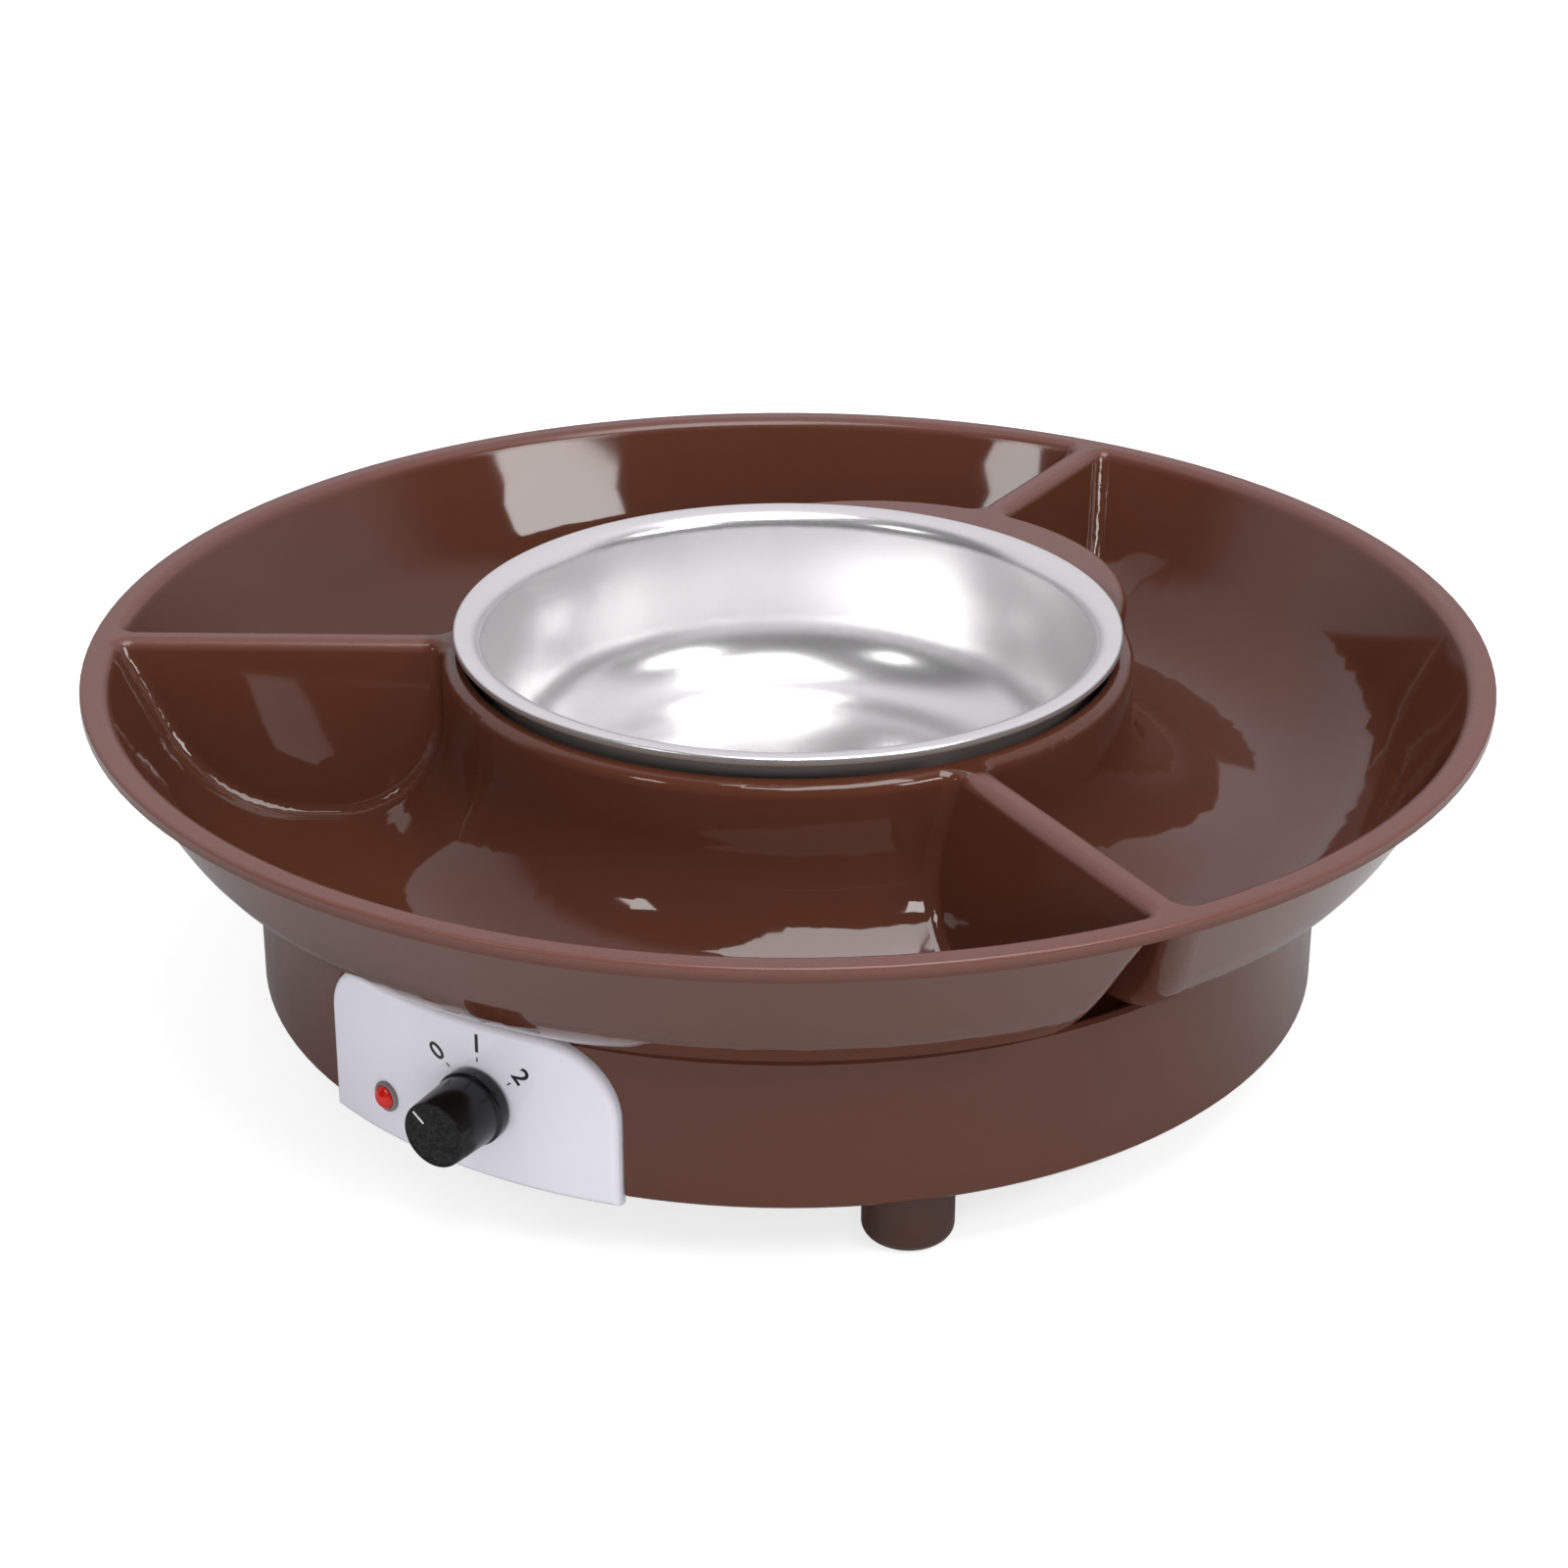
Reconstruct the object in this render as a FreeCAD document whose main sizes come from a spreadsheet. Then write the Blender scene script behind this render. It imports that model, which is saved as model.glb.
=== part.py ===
"""Chocolate melting pot: a heated drum base, a three-pocket serving tray and a lift-out metal pot.

Frame: millimetres, +Z up, origin on the table under the centre, control knob towards -Y.
"""
import FreeCAD, Part
import math
import os
import Sketcher

Vector = FreeCAD.Vector
Rotation = FreeCAD.Rotation
Placement = FreeCAD.Placement
UP = Vector(0, 0, 1)

DIMENSIONS = (
    # tray
    ("tray_radius", 150.0, "outer radius of the serving tray rim"),
    ("tray_top", 88.0, "height of the rim, dividers and hub top above the table"),
    ("tray_wall", 2.5, "moulded wall of the tray"),
    ("pocket_depth", 36.5, "depth of the three food pockets"),
    ("rim_width", 5.2, "flat rim between pocket mouth and tray edge"),
    ("pocket_wall_lean", 29.0, "lean of the outer pocket wall from upright, degrees"),
    ("bowl_blend_share", 0.668, "sweep of the outer pocket wall, as a share of the pocket floor's width"),
    ("hub_blend_share", 0.468, "sweep of the hub wall, as a share of the pocket floor's width"),
    ("pocket_corner", 3.0, "rounding around each pocket end"),
    ("mouth_rounding", 3.0, "rounding of the pocket mouths"),
    ("rim_step", 1.5, "width of the ledge under the rim lip"),
    ("lip_rounding", 0.9, "rounding of the rim and hub edges"),
    ("hub_radius", 74.4, "hub wall radius on the pocket side"),
    ("hub_opening_radius", 70.0, "opening that the pot drops through"),
    ("divider_width", 6.0, "width of each divider at the rim plane"),
    ("divider_draft", 14.0, "draft of the divider faces, degrees"),
    ("lobe_centre", 37.0, "distance of the lobe's centre behind the pot's axis"),
    ("lobe_radius", 56.5, "radius of the broad lobe behind the hub"),
    # pot
    ("pot_flange_radius", 71.75, "outer radius of the pot flange"),
    ("pot_flange_height", 92.8, "height of the flange top above the table"),
    ("pot_mouth_radius", 65.4, "inner radius at the flange"),
    ("pot_floor_wall_radius", 62.8, "inner wall radius projected down to the floor"),
    ("pot_sheet", 1.0, "thickness of the pressed sheet"),
    ("pot_sweep", 22.0, "sweep between the pot's wall and floor"),
    ("pot_flange_sweep", 2.6, "sweep between flange and wall"),
    ("pot_clearance", 0.2, "gap between pot bottom and heating plate"),
    # base housing
    ("base_share", 0.77, "drum radius as a share of the tray radius"),
    ("base_bottom", 16.6, "height of the drum's lower edge above the table"),
    ("base_wall", 2.5, "moulded wall of the drum"),
    ("tray_clearance", 0.3, "gap between the tray underside and the deck"),
    ("base_lip_height", 0.9, "locating lip above the deck"),
    ("base_lip_width", 1.5, "width of the locating lip"),
    ("base_edge", 0.8, "bevel and rounding of the drum's edges"),
    ("collar_radius", 69.3, "outside of the heat collar around the pot"),
    ("collar_sheet", 0.8, "thickness of the heat collar"),
    ("collar_height", 17.3, "height of the heat collar above the deck"),
    ("collar_flange", 10.0, "width of the collar's inward flange"),
    ("collar_bend", 2.0, "bend between the collar and its flange"),
    ("plate_gap", 2.0, "air gap between heating plate and deck opening"),
    # feet and bottom cover
    ("cover_recess", 0.6, "cover set up inside the drum edge"),
    ("cover_thickness", 2.5, "thickness of the bottom cover"),
    ("cover_clearance", 0.3, "gap between cover and drum wall"),
    ("vent_radius", 58.0, "circle of the vent slots"),
    ("vent_length", 22.0, "length of a vent slot"),
    ("vent_width", 3.0, "width of a vent slot"),
    ("foot_inset", 15.5, "foot centres inside the drum's outer face"),
    ("foot_radius", 9.4, "radius of a foot"),
    ("foot_rounding", 3.0, "rounding of the foot's lower edge"),
    ("foot_web", 6.2, "solid top of a foot that the screw passes"),
    ("pad_radius", 5.9, "radius of a rubber pad"),
    ("pad_thickness", 1.5, "thickness of a rubber pad"),
    ("pad_proud", 0.3, "pad standing proud of the foot"),
    ("fit_clearance", 0.05, "radial clearance of pins and screws in their holes"),
    ("foot_screw_radius", 2.0, "foot screw shank"),
    ("foot_screw_head_radius", 3.7, "foot screw head"),
    ("foot_screw_head", 2.4, "height of the foot screw head"),
    ("foot_screw_length", 22.0, "length of the foot screw shank"),
    ("boss_radius", 4.6, "screw boss under the deck"),
    # control panel
    ("panel_proud", 1.8, "panel standing proud of the drum"),
    ("panel_left", 41.5, "reach of the panel to the left of the knob"),
    ("panel_right", 29.6, "reach of the panel to the right of the knob"),
    ("panel_drop", 1.6, "panel reaching below the drum's edge"),
    ("panel_left_corner", 11.5, "upper left corner radius"),
    ("panel_right_corner", 16.0, "upper right corner radius"),
    ("panel_seat", 1.3, "drum wall left behind the panel"),
    ("panel_gap", 0.5, "gap around the panel"),
    ("panel_ledge", 4.0, "width of the seat that carries the panel"),
    ("panel_edge", 1.7, "rounding of the panel's front edges"),
    ("hook_thickness", 2.0, "thickness of a panel hook"),
    ("hook_height", 8.0, "height of a panel hook"),
    ("hook_reach", 1.4, "grip of a hook behind the wall"),
    # switch and knob
    ("knob_height", 32.0, "height of the knob axis above the table"),
    ("switch_boss_radius", 9.5, "flat seat for the switch behind the panel"),
    ("switch_seat", 4.8, "panel thickness at the switch seat"),
    ("switch_size", 18.0, "width and height of the switch body"),
    ("switch_depth", 12.0, "depth of the switch body"),
    ("bushing_radius", 3.5, "threaded bushing of the switch"),
    ("bushing_length", 8.0, "length of the bushing from the switch face"),
    ("washer_radius", 5.2, "washer under the switch nut"),
    ("washer_thickness", 0.5, "thickness of the washer"),
    ("nut_width", 9.0, "width across the flats of the switch nut"),
    ("nut_thickness", 2.0, "thickness of the switch nut"),
    ("shaft_radius", 2.0, "radius of the switch shaft"),
    ("shaft_flat", 0.8, "depth of the flat on the shaft"),
    ("shaft_length", 12.0, "shaft length in front of the bushing's root"),
    ("knob_radius", 7.9, "radius of the knob skirt"),
    ("knob_nose_radius", 6.9, "radius of the knob's front face"),
    ("knob_length", 14.5, "length of the knob"),
    ("knob_clearance", 0.5, "gap between the knob and the panel"),
    ("knob_skirt", 3.2, "length of the knob skirt"),
    ("knob_groove", 0.5, "depth of the ring groove above the skirt"),
    ("knob_recess_radius", 5.8, "hollow in the knob over the nut"),
    ("knob_recess_depth", 4.2, "depth of the hollow over the nut"),
    ("knob_rounding", 0.7, "rounding of the knob's front edge"),
    ("pointer_width", 0.7, "width of the pointer groove"),
    ("pointer_depth", 0.35, "depth of the pointer groove"),
    ("pointer_angle", 50.0, "pointer at rest, degrees to the left of upright"),
    # indicator
    ("indicator_angle", 12.1, "indicator to the left of the knob, degrees around the drum"),
    ("indicator_height", 24.7, "height of the indicator axis above the table"),
    ("lens_radius", 2.5, "radius of the indicator lens"),
    ("lens_length", 6.0, "straight length of the lens"),
    ("bezel_radius", 3.4, "radius of the indicator bezel flange"),
    ("bezel_wall", 0.5, "wall of the bezel sleeve"),
    ("bezel_flange", 0.8, "thickness of the bezel flange"),
    ("board_width", 9.0, "width and height of the indicator board"),
    ("board_thickness", 1.6, "thickness of the indicator board"),
    # heater
    ("plate_radius", 50.0, "radius of the heating plate"),
    ("plate_thickness", 2.7, "thickness of the heating plate"),
    ("plate_boss_circle", 44.0, "circle of the three plate bosses"),
    ("plate_boss_radius", 3.5, "radius of a plate boss"),
    ("clamp_boss_circle", 37.6, "circle of the three clamp bosses"),
    ("clamp_boss_radius", 2.4, "radius of a clamp boss"),
    ("element_radius", 34.8, "outer radius of the heating element"),
    ("element_thickness", 2.0, "thickness of the heating element"),
    ("clamp_radius", 40.2, "radius of the element clamp"),
    ("clamp_thickness", 1.2, "thickness of the element clamp"),
    ("bracket_gap", 0.9, "step from the clamp down to the heater bracket's top"),
    ("bracket_thickness", 1.2, "thickness of the heater bracket"),
    ("bracket_inner_radius", 41.0, "inside of the heater bracket"),
    ("bracket_outer_radius", 62.0, "outside of the heater bracket"),
    ("deck_boss_circle", 57.0, "circle of the three deck bosses"),
    ("deck_boss_radius", 4.0, "radius of a deck boss"),
    ("shield_radius", 51.0, "outer radius of the heat shield dish"),
    ("shield_sheet", 0.8, "thickness of the heat shield"),
    ("shield_depth", 11.0, "depth of the heat shield dish"),
    ("pad_disc_thickness", 3.5, "thickness of the insulation pad"),
    ("lead_hole_radius", 5.0, "hole for the leads in heat shield and pad"),
    ("lead_hole_distance", 25.0, "distance of the lead hole behind the centre"),
    ("small_screw_radius", 1.5, "shank of the heater screws"),
    ("small_screw_head_radius", 2.7, "head of the heater screws"),
    ("small_screw_head", 1.5, "height of the heater screw heads"),
    ("thermostat_radius", 8.0, "radius of the thermostat body"),
    ("thermostat_flange_radius", 10.0, "radius of the thermostat flange"),
    ("thermostat_height", 7.5, "height of the thermostat body below the clamp's top"),
    ("stack_clearance", 0.4, "side gap between the stacked heater pieces"),
    ("fuse_radius", 2.0, "radius of the thermal fuse"),
    ("fuse_length", 11.0, "length of the thermal fuse"),
    ("fuse_distance", 24.0, "distance of the fuse from the centre"),
    # supply side
    ("terminal_length", 30.0, "length of the terminal block"),
    ("terminal_width", 15.0, "width of the terminal block"),
    ("terminal_height", 11.0, "height of the terminal block"),
    ("terminal_hole_radius", 1.75, "wire holes of the terminal block"),
    ("terminal_well_radius", 2.0, "screw wells of the terminal block"),
    ("terminal_distance", 86.0, "distance of the terminal block behind the centre"),
    ("gland_height", 30.0, "height of the cord gland axis above the table"),
    ("gland_radius", 4.7, "radius of the gland in the drum wall"),
    ("gland_bore_radius", 3.3, "bore of the gland"),
    ("gland_flange_radius", 6.6, "radius of the gland flanges"),
    ("gland_flange", 2.2, "thickness of a gland flange"),
)


class Size:
    """A length that knows both its value and the expression that binds it to the sheet."""

    def __init__(self, value, text):
        self.value = float(value)
        self.text = text

    def combine(self, other, sign, value):
        return Size(value, "(%s %s %s)" % (self.text, sign, size(other).text))

    def __add__(self, other):
        return self.combine(other, "+", self.value + size(other).value)

    def __sub__(self, other):
        return self.combine(other, "-", self.value - size(other).value)

    def __mul__(self, other):
        return self.combine(other, "*", self.value * size(other).value)

    def __rmul__(self, other):
        return size(other) * self

    def __truediv__(self, other):
        return self.combine(other, "/", self.value / size(other).value)

    def __neg__(self):
        return Size(-self.value, "(0 - %s)" % self.text)

    def cos(self):
        return Size(math.cos(math.radians(self.value)), "cos(%s * 1 deg)" % self.text)

    def tan(self):
        return Size(math.tan(math.radians(self.value)), "tan(%s * 1 deg)" % self.text)

    def root(self):
        return Size(math.sqrt(self.value), "sqrt(%s)" % self.text)


def size(number):
    """Wraps a plain number, so that sizes and numbers mix in one formula."""
    if isinstance(number, Size):
        return number
    return Size(number, repr(float(number)))


class Named:
    """The driving dimensions, one attribute each."""


doc = FreeCAD.newDocument("melting_pot")
sheet = doc.addObject("Spreadsheet::Sheet", "Sizes")
d = Named()
for row, (alias, value, meaning) in enumerate(DIMENSIONS, start=1):
    sheet.set("A%d" % row, meaning)
    sheet.set("B%d" % row, str(value))
    sheet.setAlias("B%d" % row, alias)
    setattr(d, alias, Size(value, "Sizes." + alias))
doc.recompute()

# Radii and levels that several pieces share, levels counted up from the table.
d.pocket_mouth_radius = d.tray_radius - d.rim_width
d.pocket_foot_radius = d.pocket_mouth_radius - d.pocket_depth * d.pocket_wall_lean.tan()
d.bowl_blend = (d.pocket_foot_radius - d.hub_radius) * d.bowl_blend_share
d.hub_blend = (d.pocket_foot_radius - d.hub_radius) * d.hub_blend_share
d.base_radius = d.tray_radius * d.base_share
d.panel_radius = d.base_radius + d.panel_proud
d.foot_circle = d.base_radius - d.foot_inset
d.pocket_floor = d.tray_top - d.pocket_depth
d.deck_top = d.pocket_floor - d.tray_wall - d.tray_clearance
d.deck_underside = d.deck_top - d.base_wall
d.base_top = d.deck_top + d.base_lip_height
d.base_inner_radius = d.base_radius - d.base_wall
d.cover_underside = d.base_bottom + d.cover_recess
d.cover_top = d.cover_underside + d.cover_thickness
d.plate_top = d.deck_top + 1.3
d.plate_underside = d.plate_top - d.plate_thickness
d.clamp_top = d.plate_underside - d.element_thickness
d.clamp_underside = d.clamp_top - d.clamp_thickness
d.bracket_top = d.clamp_underside - d.bracket_gap
d.bracket_underside = d.bracket_top - d.bracket_thickness
d.shield_flange_underside = d.bracket_underside - d.shield_sheet
d.shield_floor = d.bracket_underside - d.shield_depth
d.collar_screw_circle = d.collar_radius - d.collar_sheet - d.collar_flange / 2
d.pot_floor = d.plate_top + d.pot_clearance + d.pot_sheet
d.hub_inner_radius = d.hub_radius - d.tray_wall
d.panel_back_radius = d.base_inner_radius + d.panel_seat
d.panel_bottom = d.base_bottom - d.panel_drop
d.switch_face = d.panel_radius - d.switch_seat

DIVIDERS = (90.0, 210.0, 330.0)
FEET = (("rear_right", 45.0), ("rear_left", 135.0), ("front_left", 225.0), ("front_right", 315.0))
PLATE_BOSSES = (90.0, 210.0, 330.0)
CLAMP_BOSSES = (30.0, 150.0, 270.0)
VENTS = 12
BEYOND = 5.0
nodes = {}


def bind(thing, path, length):
    thing.setExpression(path, size(length).text)


def keep(name, thing):
    """Marks an object as one physical piece of the product."""
    thing.Label = name
    nodes[name] = thing
    return thing


def facing(turn):
    """Turns local +Z to point outwards at the given angle around the object."""
    return Rotation(UP, turn) * Rotation(Vector(0, 1, 0), 90)


FRONT = Rotation(Vector(1, 0, 0), 90)


def put(thing, rotation=None, x=0, y=0, z=0):
    """Places an object, with its position bound to the sheet."""
    base = Vector(size(x).value, size(y).value, size(z).value)
    thing.Placement = Placement(base, rotation or Rotation())
    for axis, place in (("x", x), ("y", y), ("z", z)):
        if isinstance(place, Size):
            bind(thing, "Placement.Base." + axis, place)
    return thing


def polar(radius, angle):
    """x and y of a point on a circle, as sizes."""
    return radius * math.cos(math.radians(angle)), radius * math.sin(math.radians(angle))


def cylinder(name, radius, height, x=0, y=0, z=0, rotation=None):
    thing = doc.addObject("Part::Cylinder", name)
    bind(thing, "Radius", radius)
    bind(thing, "Height", height)
    return put(thing, rotation, x, y, z)


def box(name, length, width, height, x=0, y=0, z=0, rotation=None):
    thing = doc.addObject("Part::Box", name)
    bind(thing, "Length", length)
    bind(thing, "Width", width)
    bind(thing, "Height", height)
    return put(thing, rotation, x, y, z)


def fuse(name, *things):
    result = doc.addObject("Part::MultiFuse", name)
    result.Shapes = list(things)
    result.Refine = True
    return result


def common(name, base, tool):
    result = doc.addObject("Part::Common", name)
    result.Base = base
    result.Tool = tool
    return result


def cut(name, base, *tools):
    result = doc.addObject("Part::Cut", name)
    result.Base = base
    result.Tool = tools[0] if len(tools) == 1 else fuse(name + "_tools", *tools)
    return result


def group(name, things):
    """Identical loose pieces that share one node."""
    result = doc.addObject("Part::Compound", name)
    result.Links = list(things)
    return result


def closed_outline(sketch, corners):
    """A closed run of lines through the corners, each corner bound in both directions."""
    count = len(corners)
    points = [Vector(size(across).value, size(up).value, 0) for across, up in corners]
    for here in range(count):
        sketch.addGeometry(Part.LineSegment(points[here], points[(here + 1) % count]))
    for here in range(count):
        sketch.addConstraint(Sketcher.Constraint("Coincident", here, 2, (here + 1) % count, 1))
    for here, (across, up) in enumerate(corners):
        for kind, length in (("DistanceX", across), ("DistanceY", up)):
            label = "corner%d_%s" % (here, kind[-1])
            value = size(length).value
            index = sketch.addConstraint(Sketcher.Constraint(kind, -1, 1, here, 1, value))
            sketch.renameConstraint(index, label)
            if isinstance(length, Size):
                bind(sketch, "Constraints." + label, length)


def origin_plane(body, role):
    return [feature for feature in body.Origin.OriginFeatures if feature.Role == role][0]


def add_sketch(body, name, role, corners):
    sketch = body.newObject("Sketcher::SketchObject", name)
    sketch.AttachmentSupport = (origin_plane(body, role), [""])
    sketch.MapMode = "FlatFace"
    closed_outline(sketch, corners)
    return sketch


def ring_edges(shape, radius, level):
    """Names of the round edges about the Z axis at one radius and level."""
    found = []
    for number, edge in enumerate(shape.Edges, start=1):
        if isinstance(edge.Curve, Part.Circle):
            centre = edge.Curve.Center
            near = abs(edge.Curve.Radius - size(radius).value) < 1e-4
            level_hit = abs(centre.z - size(level).value) < 1e-4
            if near and level_hit and math.hypot(centre.x, centre.y) < 1e-4:
                found.append("Edge%d" % number)
    return found


def revolved(name, corners, roundings=()):
    """A turned piece: half section in the XZ plane, then rounded rings as (corner, radius)."""
    body = doc.addObject("PartDesign::Body", name)
    sketch = add_sketch(body, name + "_section", "XZ_Plane", corners)
    turned = body.newObject("PartDesign::Revolution", name + "_turned")
    turned.Profile = sketch
    turned.ReferenceAxis = (origin_plane(body, "Z_Axis"), [""])
    turned.Angle = 360
    doc.recompute()
    for number, (corner, radius) in enumerate(roundings):
        across, up = corners[corner]
        sharp = body.Tip
        edges = ring_edges(sharp.Shape, across, up)
        rounding = body.newObject("PartDesign::Fillet", "%s_rounding%d" % (name, number))
        rounding.Base = (sharp, edges)
        bind(rounding, "Radius", radius)
        body.Tip = rounding
        doc.recompute()
    return body


def padded(name, role, corners, depth, reverse=False):
    """A straight prism on an origin plane."""
    body = doc.addObject("PartDesign::Body", name)
    sketch = add_sketch(body, name + "_outline", role, corners)
    pad = body.newObject("PartDesign::Pad", name + "_pad")
    pad.Profile = sketch
    pad.Reversed = reverse
    bind(pad, "Length", depth)
    doc.recompute()
    return body


def round_edges(name, base, chosen, radius):
    """Rounds the chosen edges of an object by one radius."""
    rounding = doc.addObject("Part::Fillet", name)
    rounding.Base = base
    value = size(radius).value
    rounding.Edges = [(number, value, value) for number in chosen]
    return rounding


def edge_numbers(shape, test):
    return [number for number, edge in enumerate(shape.Edges, start=1) if test(edge)]


def is_crease(shape, edge, least_angle):
    """True where the two faces of an edge meet at more than the given angle."""
    faces = [face for face in shape.Faces if any(other.isSame(edge) for other in face.Edges)]
    if len(faces) != 2:
        return False
    middle = edge.valueAt((edge.FirstParameter + edge.LastParameter) / 2)
    normals = [face.normalAt(*face.Surface.parameter(middle)) for face in faces]
    return math.degrees(normals[0].getAngle(normals[1])) > least_angle


def divider_wedge(name, angle, offset, top, bottom):
    """The tapered space that a divider takes out of the ring of pockets."""
    slope = d.divider_draft.tan()
    half_at_rim = d.divider_width / 2 - offset / d.divider_draft.cos()
    half_top = half_at_rim + (d.tray_top - top) * slope
    half_bottom = half_at_rim + (d.tray_top - bottom) * slope
    wedge = doc.addObject("Part::Wedge", name)
    for path, length in (
        ("Xmin", -half_bottom), ("Xmax", half_bottom), ("X2min", -half_top), ("X2max", half_top),
        ("Ymin", bottom), ("Ymax", top),
        ("Zmin", d.hub_opening_radius - 2 * BEYOND), ("Zmax", d.tray_radius + BEYOND),
        ("Z2min", d.hub_opening_radius - 2 * BEYOND), ("Z2max", d.tray_radius + BEYOND),
    ):
        bind(wedge, path, length)
    return put(wedge, Rotation(UP, angle + 90) * FRONT)


def hub_lobe(name, offset, top, bottom):
    """The broad flat lobe behind the hub, astride the rear divider."""
    return cylinder(name, d.lobe_radius - offset, top - bottom, y=d.lobe_centre, z=bottom)


def pocket_solids(name, offset, top):
    """The three pocket spaces (offset 0) or the bowls around them (offset of one wall)."""
    floor = d.pocket_floor - offset
    hub = d.hub_radius - offset
    slope = d.pocket_wall_lean.tan()
    mouth = d.pocket_mouth_radius + offset / d.pocket_wall_lean.cos()
    foot = mouth - (d.pocket_depth + offset) * slope
    ring = revolved(
        name + "_ring",
        [(hub, top), (hub, floor), (foot, floor), (mouth + (top - d.tray_top) * slope, top)],
        [(1, d.hub_blend + offset), (2, d.bowl_blend + offset)],
    )
    over = top + 1
    under = floor - BEYOND
    tools = [divider_wedge("%s_divider%d" % (name, angle), angle, offset, over, under)
             for angle in DIVIDERS]
    tools.append(hub_lobe(name + "_lobe", offset, over, under))
    sharp = cut(name + "_sharp", ring, *tools)
    doc.recompute()
    shape = sharp.Shape

    def pocket_corner(edge):
        below_top = edge.BoundBox.ZMin < top.value - 0.01
        return below_top and is_crease(shape, edge, 8)
    return round_edges(name, sharp, edge_numbers(shape, pocket_corner), d.pocket_corner + offset)


def make_serving_tray():
    """Moulded shell: three bowls hung from one flat top, open channels under the dividers."""
    wall = d.tray_wall
    bowls = pocket_solids("tray_bowls", wall, d.tray_top - wall / 2)
    spaces = pocket_solids("tray_spaces", size(0), d.tray_top + BEYOND)
    plate_under = d.tray_top - wall
    outer_wall = d.pocket_mouth_radius + wall / d.pocket_wall_lean.cos()
    top_plate = revolved(
        "tray_top_plate",
        [(d.hub_opening_radius, d.tray_top), (d.hub_opening_radius, plate_under),
         (outer_wall - wall, plate_under), (outer_wall - wall, plate_under - wall / 2),
         (d.tray_radius - d.rim_step, plate_under - wall / 2), (d.tray_radius - d.rim_step, plate_under),
         (d.tray_radius, plate_under), (d.tray_radius, d.tray_top)],
        [(0, d.lip_rounding), (7, d.lip_rounding)],
    )
    shell = cut("tray_shell", fuse("tray_solid", bowls, top_plate), spaces)
    doc.recompute()
    shape = shell.Shape

    def mouth(edge):
        flat = edge.BoundBox.ZLength < 1e-4 and abs(edge.BoundBox.ZMin - d.tray_top.value) < 1e-4
        if not flat or not is_crease(shape, edge, 20):
            return False
        start = edge.valueAt(edge.FirstParameter)
        return math.hypot(start.x, start.y) > d.hub_radius.value - 1
    rounded = round_edges("serving_tray", shell, edge_numbers(shape, mouth), d.mouth_rounding)
    keep("serving_tray", rounded)


def make_melting_pot():
    """Pressed sheet-metal bowl with a flat flange."""
    sheet_metal = d.pot_sheet
    top = d.pot_flange_height
    mouth = d.pot_mouth_radius
    foot = d.pot_floor_wall_radius
    under = d.pot_floor - sheet_metal
    pot = revolved(
        "melting_pot",
        [(0, d.pot_floor), (foot, d.pot_floor), (mouth, top), (d.pot_flange_radius, top),
         (d.pot_flange_radius, top - sheet_metal), (mouth + sheet_metal, top - sheet_metal),
         (foot + sheet_metal, under), (0, under)],
        [(1, d.pot_sweep), (6, d.pot_sweep + sheet_metal), (2, d.pot_flange_sweep),
         (5, d.pot_flange_sweep - sheet_metal)],
    )
    keep("melting_pot", pot)


def panel_block(name, grow, back, front):
    """Rounded outline of the control panel as a prism that points to the front."""
    left = d.panel_left + grow
    right = d.panel_right + grow
    bottom = d.panel_bottom - grow
    top = d.base_top + grow
    block = padded(name + "_prism", "XZ_Plane",
                   [(-left, bottom), (right, bottom), (right, top), (-left, top)], front - back)
    put(block, None, 0, -back, 0)
    doc.recompute()
    numbers = {}
    for side, corner in ((-left, d.panel_left_corner), (right, d.panel_right_corner)):
        def upper_corner(edge, side=side):
            spot = edge.CenterOfMass
            return abs(spot.x - side.value) < 1e-3 and abs(spot.z - top.value) < 1e-3
        numbers[edge_numbers(block.Shape, upper_corner)[0]] = corner + grow
    rounded = doc.addObject("Part::Fillet", name)
    rounded.Base = block
    rounded.Edges = [(number, radius.value, radius.value) for number, radius in numbers.items()]
    return rounded


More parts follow.
